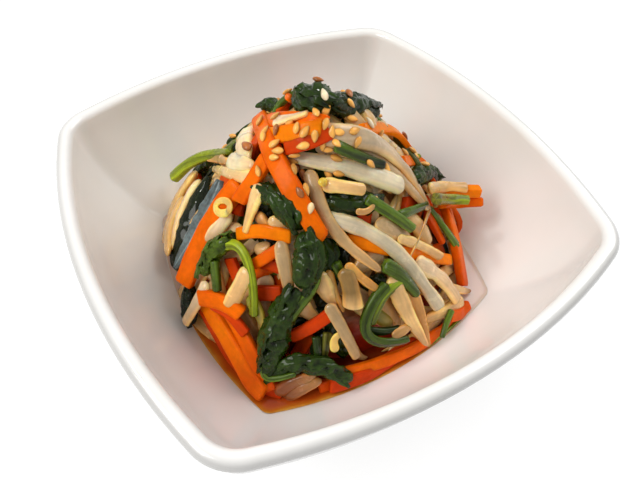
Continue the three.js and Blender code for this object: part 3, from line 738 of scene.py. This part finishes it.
def strew(count, sink, cap, middle=0.0, spread=math.pi, mix=EVEN_MIX):
    """Pieces of all kinds over a sector of the mound, from so far below its surface."""
    for _ in range(count):
        around, down = spread_out(len(placed_at))
        bearing = middle + spread * (2 * around - 1)
        share = math.sqrt(down)
        heading = rng.normal(0, 0.9) + (math.pi / 2 if share < 0.5 else 0)
        kind = rng.choice(4, p=mix)
        if math.cos(bearing - WIDEST) > ONLY_SPROUTS:
            kind = 0
        spots = around_mound(bearing, share, heading, rng.uniform(16, 30), 9, sink + rng.normal(0, 0.3))
        if kind == 0:
            tone = between(CREAM, (GREYISH, MILK, STRAW)[rng.integers(3)], rng.random() * 0.8)
            tail = rng.choice([0, 0.3])
            thick, thin = rng.uniform(1.6, 2.5), rng.uniform(0.8, 1.6)
            sprout(spots, thick, thin, tone, tail=tail, steps=22, sides=12, cap=cap)
        elif kind == 1:
            tone = between(ORANGE, DEEP_ORANGE, rng.random() * 1.3)
            width, height = rng.uniform(3.2, 4.8), rng.uniform(0.4, 0.65)
            carrot(spots, width, tone, height, twist=rng.normal(0, 0.5), steps=14, cap=cap)
        elif kind == 2:
            tone = between(LEAF_GREEN, BLACK_GREEN, rng.random())
            spinach(spots, rng.uniform(1.8, 2.8), tone, steps=28, sides=22, sheets=1, cap=cap)
        else:
            tone = between(STEM_GREEN, (OLIVE, LEAF_GREEN)[rng.integers(2)], rng.random())
            stem(spots, rng.uniform(1.2, 1.9), tone, steps=16, cap=cap)


def shown(make):
    """Lays pieces of one kind that show in the picture, each by its route there, as x and y in turn."""

    def lay_shown(route, *sizes, count=9, touch=0.2, cap=6.0, **looks):
        make(in_picture(route, count, touch), *sizes, cap=cap, **looks)

    return lay_shown


bean, strip, bunch, sheet, stalk = (shown(make) for make in (sprout, carrot, spinach, leaf, stem))

make_core()
strew(100, 5.0, -2.6)
strew(70, 3.6, -1.7, mix=(0.8, 0.08, 0.06, 0.06))
strew(60, 2.0, 0.2, FAR, FAR_SPREAD)
strew(40, 0.6, 1.6, FAR, FAR_SPREAD, (0.42, 0.26, 0.18, 0.14))

# Deep down at the left: what shows between the pieces on top.
bunch((192, 284, 188, 304, 194, 324), 2.3, BLACK_GREEN, flat=0.6)
bean((196, 172, 175, 204, 165, 244), 2.4, 1.6)
bean((200, 180, 182, 210, 173, 252), 2.4, 1.6, MILK)
bean((184, 198, 170, 226, 168, 256), 2.2, 1.4)
stalk((174, 178, 190, 162, 212, 154, 230, 152), 2.3, BRIGHT_GREEN, thin=1.1, groove=0.0, count=12)
bean((208, 158, 218, 158, 230, 163), 1.4, 1.2, STRAW, ends=(0.6, 1))
strip((222, 181, 240, 185), 4, DEEP_ORANGE)
strip((232, 207, 243, 211), 3.2, RED_ORANGE)
bunch((256, 184, 266, 202, 268, 222), 2.3, BLACK_GREEN)
bean((256, 214, 272, 228), 1.9, 1.6, STRAW)
strip((230, 258, 238, 278), 3.4, RED_ORANGE)
strip((262, 262, 284, 268), 3.6, RED_ORANGE)
strip((256, 293, 282, 293), 4, RED_ORANGE)
bean((248, 296, 260, 314, 264, 332), 2.2, 1.8, OLIVE * 1.3)
bean((210, 256, 218, 280, 224, 300), 1.8, 1.4)

# Deep down in the middle and at the right.
strip((348, 219, 370, 218), 4, RED_ORANGE)
strip((404, 204, 428, 202), 4, RED_ORANGE)
bunch((326, 238, 330, 258, 322, 276), 2.2)
bunch((324, 330, 320, 346, 316, 360), 1.9, BLACK_GREEN)
stalk((328, 332, 324, 356), 1.3, OLIVE * 0.7)
stalk((316, 336, 318, 358), 1.3, LEAF_GREEN * 1.4)
bean((318, 272, 325, 288, 334, 306), 2.5, 1.8, CREAM * 0.9)
bean((300, 296, 306, 312, 318, 318), 2.0, 1.6)
bean((384, 252, 366, 262, 352, 274), 2.2, 1.6, GREYISH)
bean((376, 222, 396, 232, 412, 240), 2.2, 1.7, GREYISH)
bean((404, 214, 418, 226, 428, 244), 2.4, 2.0, ends=(1, 0.5))
strip((426, 212, 434, 226, 443, 243), 2.8, DEEP_ORANGE)
bean((396, 272, 404, 290, 414, 304), 2.2, 1.8, STRAW)
bean((372, 286, 384, 304, 400, 326), 2.3, 1.6, STRAW)
bean((368, 304, 380, 316, 392, 326), 2.2, 1.8, OLIVE * 1.4)
stalk((366, 330, 384, 332, 400, 328), 1.3, LEAF_GREEN * 1.2)
bean((392, 336, 400, 332, 410, 326), 1.5, 1.3, STRAW * 0.8)
bean((462, 300, 444, 312, 422, 320), 2.2, 1.8)
bean((418, 284, 430, 292, 440, 306), 2.0, 1.6, STRAW * 0.8)

# Round the foot, some of it in the broth.
strip((203, 308, 222, 342, 242, 374), 3.4, RED_ORANGE)
strip((250, 378, 270, 396, 284, 400), 4.4, RED_ORANGE, sunk=1.0)
bean((280, 404, 298, 390, 322, 380), 1.7, 1.2, srgb(160, 96, 52), sunk=1.8)
bean((276, 394, 292, 382, 316, 376), 1.7, 1.3, srgb(150, 84, 44), sunk=1.8)
strip((318, 394, 362, 384, 412, 360), 3.6, sunk=1.0)
strip((330, 386, 370, 374, 424, 352), 4.2, RED_ORANGE, sunk=0.8)
strip((340, 374, 396, 358, 464, 322), 3.3, BRIGHT_ORANGE, point=0.35)
strip((450, 317, 471, 311), 3.3)
stalk((452, 310, 447, 322, 442, 338), 1.1)
stalk((430, 356, 446, 343, 461, 331), 0.7, BRIGHT_GREEN * 0.8)
strip((206, 302, 234, 348, 264, 402), 5.0, BRIGHT_ORANGE * 1.15)
strip((222, 300, 248, 344, 270, 392), 4.0)
strip((212, 304, 230, 314, 246, 334), 3.0, RED_ORANGE * 1.2)
strip((200, 297, 222, 301, 242, 314), 4.6)
strip((290, 337, 308, 329, 322, 320, 333, 312), 3.3, RED_ORANGE * 1.15)
bean((207, 282, 197, 303, 185, 323), 1.6, 1.4, MILK, ends=(1, 0.4))

# The middle layer at the left.
sheet((208, 176, 192, 206, 184, 236, 166, 276), 6.6, BLACK_GREEN, crumple=0.3, turn=0.7)
# Over the dark leaf lies one painted grey-blue, a painted reflection of its wet sheen.
sheet((220, 180, 211, 206, 196, 232, 174, 268), 6.0, PAINTED_SHEEN_GREY, crumple=0.15, curl=0.2, turn=0.9)
strip((240, 184, 221, 206, 200, 244, 184, 284), 5.6, twist=0.35)
# These two are painted past the sprouts' own milky colour: partly their own paler colour, partly painted
# light where they lie in shade.
bean((247, 132, 244, 150, 243, 172), 2.6, 2.4, MILK * 1.5)
bean((230, 160, 242, 164, 254, 166), 2.6, 2.2, MILK * 1.35)
bean((254, 179, 233, 174, 210, 168), 1.6, 0.5, CREAM * 1.15, tip=CREAM)
bean((215, 239, 221, 229, 231, 226, 243, 229), 1.2, 1.1, MILK * 1.1)
bean((230, 212, 221, 226, 206, 241), 1.9, 1.4, MILK * 1.15)
ring = (229, 212, 219, 215, 214, 208, 218, 200, 228, 200, 232, 207, 226, 215)
bean(ring, 0.9, 0.8, between(CREAM, YELLOW, 0.6) * 1.2, count=16, lift=1.2, cap=8)
strip((238, 234, 260, 230, 291, 237), 3.4, BRIGHT_ORANGE)
bean((268, 221, 288, 224), 1.7, 1.4)
bean((255, 252, 270, 244), 1.7, 1.4)
strip((253, 265, 268, 256, 284, 245), 3.0)
bean((250, 268, 240, 286, 229, 307), 2.0, 1.7, CREAM * 1.1, ends=(1, 0.4))
bean((280, 240, 285, 268, 290, 296), 1.8, 1.4, GREYISH)
bunch((204, 276, 207, 259, 218, 245, 233, 240), 2.2, STEM_GREEN * 0.55)
stalk((214, 260, 217, 292), 1.6, STEM_GREEN * 0.8)
arch = (224, 246, 236, 240, 246, 256, 253, 282, 254, 317)
stalk(arch, 1.4, BRIGHT_GREEN, count=14)

# The middle layer at the right.
bunch((324, 200, 348, 206, 376, 200), 2.8, LEAF_GREEN * 0.65)
strip((445, 206, 455, 240, 463, 286), 4.8)
strip((403, 162, 422, 160), 3.4)
stalk((414, 160, 422, 154), 0.9, BRIGHT_GREEN)
strip((442, 203, 481, 201), 3.2, height=0.95, cap=None)
strip((440, 188, 483, 189), 3.4, BRIGHT_ORANGE, height=0.95, cap=None)
stalk((436, 199, 452, 199, 470, 200), 1.7, OLIVE, tip=BRIGHT_GREEN * 0.8, cap=None)
bean((430, 189, 446, 186, 468, 188), 1.8, 1.5, ends=(1, 0.5), cap=None)
stalk((446, 172, 462, 179), 1.2, BRIGHT_GREEN, tip=STEM_GREEN)
bunch((414, 180, 426, 170, 441, 178), 2.5, sheets=1)
stalk((429, 207, 442, 224, 457, 246), 0.9, STEM_GREEN * 0.8, thin=1.3, tip=STEM_GREEN * 1.4)
stalk((398, 216, 426, 205), 1.3)
stalk((366, 198, 392, 214, 413, 229), 1.6, tip=STEM_GREEN * 1.4)
strip((346, 239, 398, 252, 450, 260), 3.4, BRIGHT_ORANGE)
bean((398, 238, 420, 245, 441, 257), 1.3, 1.4, CREAM * 1.15, ends=(1, 0.4))
bean((448, 287, 460, 290, 470, 292), 1.3, 0.6, tip=BROWN, cap=None)
bean((416, 262, 440, 276, 457, 300), 2.2, 2.0, MILK, ends=(1, 0.3))
stalk((335, 262, 344, 280), 1.5, STEM_GREEN * 0.8)
bean((344, 268, 351, 288, 353, 308), 2.0, 2.3, srgb(150, 118, 64), tip=CREAM, ends=(1, 0.35))
bean((328, 270, 334, 290, 344, 312), 1.1, 0.5, AMBER, tip=AMBER)
bunch((371, 280, 387, 280), 1.4, BLACK_GREEN)
bean((346, 264, 366, 282, 387, 295), 1.3, 0.5, AMBER, tip=AMBER)
bean((328, 304, 342, 328, 357, 357), 1.5, 1.4, GREYISH * 0.95, ends=(1, 0.4))
bean((336, 352, 333, 342, 337, 335, 344, 333), 1.1, 0.6, between(CREAM, YELLOW, 0.5), count=10)
bean((408, 284, 421, 316, 429, 347), 2.0, 0.6, AMBER, tip=AMBER)
bean((391, 277, 406, 312, 427, 346), 2.5, 0.6, tip=STRAW)
stalk((384, 264, 400, 274, 417, 294), 2.0, STEM_GREEN * 0.8, tip=STEM_GREEN * 0.6)
stalk((403, 280, 389, 288, 378, 304, 371, 324), 1.4, between(STEM_GREEN, BRIGHT_GREEN, 0.5), groove=0.1)
far = (388, 284, 376, 297, 367, 316, 363, 333, 374, 342, 390, 343, 409, 339)
stalk(far, 1.6, STEM_GREEN * 0.6, tip=STEM_GREEN * 0.4, count=18)

# The spinach that winds down the front.
bunch((262, 378, 288, 363, 322, 363, 352, 381), 2.4, LEAF_GREEN * 1.15, flat=0.7, sheets=1)
bunch((296, 288, 280, 322, 270, 350, 266, 374), 3.1, crumple=1.1, sheets=2)
stalk((272, 352, 262, 366, 263, 379, 278, 379, 296, 374), 0.9, STEM_GREEN * 1.5, count=14, lift=1.6, cap=8)
bend = (314, 254, 317, 280, 300, 304, 286, 324)
stalk(bend, 1.6, STEM_GREEN * 1.3, count=12)
bunch((260, 188, 286, 204, 301, 230), 2.8)
bunch((301, 232, 312, 256, 300, 288), 3.1)

# On top.
strip((362, 131, 393, 128, 409, 149), 3.6, BRIGHT_ORANGE)
strip((266, 160, 255, 178, 239, 202), 4.2)
bean((261, 184, 252, 208, 245, 233), 1.9, 1.3, CREAM * 1.25, ends=(1, 0.4))
bean((318, 214, 370, 231, 404, 258, 440, 308), 1.9, 1.7, PALE, tip=PALE * 0.95, count=14, ends=(1.2, 0.3))
bean((308, 170, 324, 214, 344, 243, 381, 271), 1.6, 1.0, GREYISH, count=12)
bean((356, 211, 366, 213, 374, 206, 377, 196), 0.7, 0.6, STRAW)
bean((322, 184, 344, 187, 366, 190), 1.6, 1.4, CREAM * 1.2, ends=(0.8, 0.9))
bean((321, 178, 325, 187), 1.3, 1.1, YELLOW, count=4)
bean((328, 146, 372, 156, 404, 182, 428, 210), 2.0, 0.9, MILK * 0.72, count=12)
bean((314, 136, 366, 137, 402, 164, 431, 211), 2.8, 0.8, MILK * 0.8, count=14)
stalk((335, 145, 360, 157, 384, 165), 1.6, STEM_GREEN * 0.8, tip=BLACK_GREEN)
bean((430, 208, 421, 234, 410, 257), 0.55, 0.3, STRAW)
bean((403, 187, 350, 168, 292, 157), 2.6, 1.4, PALE * 1.2, tip=PALE * 1.2, count=14, ends=(0.9, 1.5))
strip((266, 122, 290, 119, 326, 124), 4.0)
strip((286, 148, 310, 142, 330, 132), 3.6, RED_ORANGE * 1.1)
strip((268, 136, 296, 133, 322, 128), 4.2, BRIGHT_ORANGE)
strip((260, 117, 276, 161, 322, 240), 5.0, count=14, slant=0.5)
bean((274, 122, 292, 118, 309, 113), 1.5, 1.2, MILK * 1.15, ends=(1, 0.5))

# Spinach at the very top.
stalk((272, 118, 282, 100, 302, 90), 1.3, cap=5)
bunch((262, 108, 270, 103, 278, 110), 1.6, touch=1.0, cap=4)
bunch((296, 99, 313, 97, 332, 107), 3.4, touch=2.0, cap=4.5)
bunch((330, 106, 354, 105, 378, 112), 2.9, LEAF_GREEN * 0.65, touch=1.8, cap=4.5)

SEED_PIXELS = [
    (261, 121), (266, 131), (276, 117), (290, 122), (297, 128), (264, 136), (275, 144), (278, 151),
    (275, 158), (305, 132), (315, 136), (294, 154), (294, 161), (303, 146), (316, 113), (326, 110),
    (325, 124), (332, 132), (338, 132), (354, 131), (357, 142), (340, 90), (350, 104), (352, 119),
    (379, 134), (328, 148), (337, 144), (336, 159), (370, 164), (386, 169), (328, 173), (339, 173),
    (323, 145), (305, 190), (293, 170), (404, 153), (259, 171),
]  # fmt: skip
DARK_SEEDS = [(277, 130), (290, 124), (318, 81), (303, 175), (297, 168), (300, 192)]


# Seeds that differ, by their place in the picture.
ODD_SEEDS = [(pixel, {"tone": SESAME_DARK}) for pixel in DARK_SEEDS] + [
    ((247, 147), {"tone": SESAME_DARK, "size": (4.0, 2.6, 1.6)}),
    ((311, 208), {"tone": srgb(240, 210, 160)}),
    ((324, 95), {"tone": WHITE_SESAME}),
    ((369, 123), {"tone": WHITE_SESAME, "size": (4, 2, 1.0)}),
    ((291, 97), {"tone": ORANGE, "size": (2.4, 2.4, 1.8)}),  # a crumb of carrot
]


def food_surface():
    """All the food laid so far, to be met by lines."""
    points, faces, count = [], [], 0
    for mesh in (core, sprouts, carrots, leaves, stems):
        own, quads, tris, _, _ = mesh.arrays()
        points += own.tolist()
        faces += (quads + count).tolist() + (tris + count).tolist()
        count += len(own)
    return BVHTree.FromPolygons(points, faces)


def make_seeds():
    surface = food_surface()
    for pixel, looks in [(pixel, {}) for pixel in SEED_PIXELS] + ODD_SEEDS:
        seed(surface, EYE, sight_lines([pixel])[0], **looks)
    for n in range(34):
        around, down = spread_out(n)
        bearing = FAR + FAR_SPREAD * (2 * around - 1)
        rho = MOUND_RADIUS * math.sqrt(0.02 + 0.5 * down)
        x, y = stretched(rho * math.cos(bearing), rho * math.sin(bearing))
        seed(surface, (x, y, 200), (0, 0, -1), tone=SESAME if n % 6 else SESAME_DARK)


# ---- broth


def make_broth():
    """The pool. Its tone holds how far in from the wall a spot lies, in centimetres, and how thin the broth
    is there: thinnest towards two of the corners."""
    mesh = Mesh()
    rings, insets = [], []
    for z in (FLOOR_TOP + 0.3, 8, 10, BROTH_LEVEL - 0.15):
        rings.append(outline(inner_half(z) - 0.06, corner_at(z), z))
        insets.append(1.0)
    surface_half = inner_half(BROTH_LEVEL)
    for inset in (0.05, 0.25, 0.5, 0.9, 1.4, 2.1, 3.0, 4.2, 5.8, 8, 11, 15, 20, 26, 33, 40):
        z = BROTH_LEVEL + 0.34 * math.exp(-inset / 0.7) - 0.04
        share = 1 - inset / surface_half
        ring = outline(surface_half * share, corner_at(z) * share, z)
        ring[:, 2] += 0.1 * (noise(ring, 6.0) - 0.5) * min(inset, 1)
        rings.append(ring)
        insets.append(inset)
    rings = np.array(rings)
    towards = np.abs(unit(rings[..., :2]) @ unit(np.array([1, -0.75])))
    thin = np.clip((towards - 0.75) / 0.2, 0, 1)
    inwards = np.broadcast_to(np.array(insets)[:, None], thin.shape) * 0.1
    mesh.add_loft(rings, np.stack([inwards, thin, thin], -1))
    return mesh


# ---- materials


class Shader:
    """A material put together from nodes."""

    def __init__(self, name):
        self.material = bpy.data.materials.new(name)
        self.material.use_nodes = True
        self.nodes = self.material.node_tree.nodes
        self.links = self.material.node_tree.links
        self.principled = self.nodes["Principled BSDF"]
        self.here = self.node("TexCoord").outputs["Object"]

    def node(self, kind, inputs=None, **settings):
        made = self.nodes.new("ShaderNode" + kind)
        for key, value in settings.items():
            setattr(made, key, value)
        for key, value in (inputs or {}).items():
            self.put(made.inputs[key], value)
        return made

    def put(self, socket, value):
        if isinstance(value, bpy.types.NodeSocket):
            self.links.new(value, socket)
        elif hasattr(value, "__len__") and len(socket.default_value) == 4:
            socket.default_value = (*value[:3], 1)
        else:
            socket.default_value = value

    def set(self, **values):
        for key, value in values.items():
            self.put(self.principled.inputs[key.replace("_", " ")], value)

    def attribute(self, name, output="Color"):
        return self.node("Attribute", attribute_name=name).outputs[output]

    def noise(self, vector, scale, detail=3.0, roughness=0.5, stretch=(1, 1, 1)):
        where = self.node("Mapping", {"Vector": vector, "Scale": stretch}).outputs[0]
        inputs = {"Vector": where, "Scale": scale, "Detail": detail, "Roughness": roughness}
        return self.node("TexNoise", inputs).outputs[0]

    def range(self, value, low, high, to_low, to_high):
        inputs = {"Value": value, "From Min": low, "From Max": high, "To Min": to_low, "To Max": to_high}
        return self.node("MapRange", inputs).outputs[0]

    def about_one(self, value, swing):
        """Noise turned into a factor that swings so far about 1."""
        return self.range(value, 0.3, 0.7, 1 - swing, 1 + swing)

    def times(self, a, b):
        return self.math("MULTIPLY", a, b)

    def tinted(self, colour, factor):
        """A colour made lighter or darker by a factor."""
        grey = self.node("CombineColor", {0: factor, 1: factor, 2: factor}).outputs[0]
        return self.mix(colour, grey, 1.0, "MULTIPLY")

    def mix(self, a, b, factor, blend="MIX"):
        made = self.node("Mix", data_type="RGBA", blend_type=blend)
        self.put(made.inputs[0], factor)
        self.put(made.inputs[6], a)
        self.put(made.inputs[7], b)
        return made.outputs[2]

    def math(self, kind, a, b):
        return self.node("Math", {0: a, 1: b}, operation=kind).outputs[0]

    def bump(self, height, distance, strength=1.0):
        made = self.node("Bump", {"Height": height, "Distance": distance, "Strength": strength})
        self.put(self.principled.inputs["Normal"], made.outputs[0])


def porcelain():
    s = Shader("porcelain")
    cloud = s.noise(s.here, 28)
    speck = s.noise(s.here, 900, detail=1)
    glaze = s.mix(srgb(244, 243, 240), srgb(250, 249, 248), s.range(cloud, 0.35, 0.65, 0, 1))
    # The tone attribute darkens the outside of the bowl with painted shade.
    s.set(Base_Color=s.mix(glaze, s.attribute("tone"), 1.0, "MULTIPLY"), IOR=1.5)
    s.set(Roughness=s.range(cloud, 0.3, 0.7, 0.16, 0.24), Coat_Weight=0.4, Coat_Roughness=0.06)
    s.bump(s.math("ADD", s.noise(s.here, 60, detail=1), s.times(speck, 0.04)), 0.0002, 0.35)
    return s.material


def wet_food(
    name, roughness, streak, speckle, patch, soft=0.15, soft_radius=(0.0016, 0.0009, 0.0004), coat=0.3,
    bump=0.0001, gloss=0.25, clear=0.0, wrinkle=0.0, fine=1.0
):  # fmt: skip
    """Colour from the tone attribute, with streaks along each piece, fine grain, and a wet surface."""
    s = Shader(name)
    flow = s.attribute("flow", "Vector")
    streaks = s.noise(flow, fine, detail=4, roughness=0.6, stretch=(0.16 / fine, 1.1, 1))
    grain = s.noise(s.here, 900, detail=2)
    patches = s.noise(s.here, 260, detail=2)
    factor = s.times(s.about_one(streaks, streak), s.about_one(grain, speckle))
    factor = s.times(factor, s.about_one(patches, patch))
    s.set(Base_Color=s.tinted(s.attribute("tone"), factor), IOR=1.4, Coat_Weight=coat, Coat_Roughness=0.06)
    s.set(Roughness=s.range(patches, 0.3, 0.7, roughness * 0.75, roughness * 1.3), Specular_IOR_Level=gloss)
    s.set(Subsurface_Weight=soft, Subsurface_Radius=soft_radius, Subsurface_Scale=1.0)
    s.set(Transmission_Weight=clear)
    relief = s.math("ADD", streaks, s.times(grain, 0.25))
    if wrinkle:
        cells = s.node("TexVoronoi", {"Vector": s.here, "Scale": 900.0}, feature="SMOOTH_F1")
        relief = s.math("ADD", relief, s.times(cells.outputs["Distance"], wrinkle))
    s.bump(relief, bump, 0.8)
    return s.material


# The broth's colour from the wall inwards, at shares of the way.
BROTH_COLOURS = [
    (0.0, srgb(226, 164, 70)),
    (0.07, srgb(200, 112, 26)),
    (0.17, srgb(182, 76, 18)),
    (0.4, srgb(154, 52, 12)),
    (0.9, srgb(110, 30, 8)),
]


def broth_surface():
    s = Shader("broth")
    inwards, thin, _ = s.node("SeparateColor", {0: s.attribute("tone")}).outputs
    cloud = s.math("SUBTRACT", s.noise(s.here, 130), 0.5)
    amount = s.math("ADD", inwards, s.times(cloud, 0.25))
    ramp = s.node("ValToRGB", {0: amount})
    stops = ramp.color_ramp.elements
    stops[0].position, stops[1].position = BROTH_COLOURS[0][0], BROTH_COLOURS[-1][0]
    for position, _ in BROTH_COLOURS[1:-1]:
        stops.new(position)
    for stop, (_, colour) in zip(stops, BROTH_COLOURS):
        stop.color = (*colour, 1)
    drops = s.node("TexVoronoi", {"Vector": s.here, "Scale": 260.0}).outputs["Distance"]
    oily = s.tinted(ramp.outputs[0], s.range(drops, 0.12, 0.2, 1.12, 1.0))
    s.set(Base_Color=s.mix(oily, srgb(230, 210, 200), s.times(thin, 0.85)), Roughness=0.07, IOR=1.36)
    s.set(Coat_Weight=0.2, Coat_Roughness=0.05, Subsurface_Weight=0.2)
    s.set(Subsurface_Radius=(0.003, 0.001, 0.0003), Subsurface_Scale=1.0)
    s.bump(s.noise(s.here, 90, detail=2), 0.0003, 0.4)
    return s.material


# ---- the model

make_seeds()
make_bowl().build("bowl_glazed", porcelain(), "bowl", "porcelain")
make_broth().build("broth_pool", broth_surface(), "broth", "broth")
SPROUT_GLOW, CARROT_GLOW = (0.0014, 0.001, 0.0006), (0.0014, 0.0006, 0.0002)
sprout_flesh = wet_food(
    "sprout_flesh", 0.22, 0.09, 0.04, 0.1, 0.6, SPROUT_GLOW, coat=0.5, bump=0.00008, gloss=0.3, clear=0.08
)
carrot_flesh = wet_food(
    "carrot_flesh", 0.34, 0.1, 0.05, 0.08, 0.35, CARROT_GLOW, coat=0.08, bump=0.00012, gloss=0.06
)
leaf_skin = wet_food(
    "leaf_skin", 0.26, 0.22, 0.12, 0.25, soft=0.05, coat=0.45, bump=0.00045, gloss=0.05, wrinkle=1.6
)
for mesh, name, material in (
    (core, "namul_core", wet_food("wet_core", 0.4, 0.2, 0.1, 0.2)),
    (sprouts, "bean_sprouts", sprout_flesh),
    (carrots, "carrot_strips", carrot_flesh),
    (leaves, "spinach_leaves", leaf_skin),
    (stems, "spinach_stems", wet_food("stem_skin", 0.24, 0.45, 0.06, 0.1, soft=0.12, fine=2.2, bump=0.0002)),
    (seeds, "sesame_seeds", wet_food("sesame_hull", 0.26, 0.08, 0.08, 0.12, soft=0.1, coat=0.5)),
):
    mesh.build(name, material, "namul", "vegetables")

# ---- floor, light and camera


FLOOR_REACH = 3.0  # metres
FLOOR_GLOW = 0.79
WORLD_STRENGTH = 0.5
LIGHT_DISTANCE = 0.6  # metres
AIM = Vector((0, 0, 0.03))
LIGHTS = [  # name, bearing anticlockwise from +X and height in degrees, size in metres, watts, colour
    ("key", 178, 45, 0.3, 1.8, (1, 0.985, 0.95)),
    ("fill", 8, 48, 0.35, 1.4, (1, 1, 1)),
    ("sparkle", 150, 52, 0.04, 0.4, (1, 0.98, 0.94)),
]
SENSOR_WIDTH = 36  # millimetres


def make_floor():
    s = Shader("studio_floor")
    s.set(Base_Color=s.mix(srgb(140, 140, 140), srgb(146, 146, 146), s.noise(s.here, 3)), Roughness=0.9)
    s.set(Emission_Color=(1, 1, 1), Emission_Strength=FLOOR_GLOW)
    data = bpy.data.meshes.new("floor")
    corners = [(x * FLOOR_REACH, y * FLOOR_REACH, 0) for x, y in ((-1, -1), (1, -1), (1, 1), (-1, 1))]
    data.from_pydata(corners, [], [(0, 1, 2, 3)])
    data.materials.append(s.material)
    return placed("floor", data)


def make_light(name, bearing, elevation, size, power, colour):
    """A soft square light that shines on the bowl."""
    b, e = math.radians(bearing), math.radians(elevation)
    way = Vector((math.cos(b) * math.cos(e), math.sin(b) * math.cos(e), math.sin(e)))
    data = bpy.data.lights.new(name, "AREA")
    data.shape, data.size, data.energy, data.color = "SQUARE", size, power, colour
    light = placed(name, data)
    light.location = way * LIGHT_DISTANCE + AIM
    light.rotation_euler = way.to_track_quat("Z", "Y").to_euler()


def make_camera():
    data = bpy.data.cameras.new("camera")
    data.sensor_width = SENSOR_WIDTH
    data.lens = SENSOR_WIDTH * FOCAL / IMAGE_SIZE[0]
    data.clip_start = 0.01
    camera = placed("camera", data)
    columns = np.column_stack([RIGHT, UP, -FORWARD, EYE * MM])
    camera.matrix_world = Matrix([*columns.tolist(), [0, 0, 0, 1]])
    bpy.context.scene.camera = camera


world = bpy.data.worlds.new("studio")
world.use_nodes = True
background = world.node_tree.nodes["Background"].inputs
background["Color"].default_value = (1, 0.995, 0.975, 1)
background["Strength"].default_value = WORLD_STRENGTH
bpy.context.scene.world = world
bpy.context.scene.view_settings.view_transform = "Standard"
floor = make_floor()
for light in LIGHTS:
    make_light(*light)
make_camera()
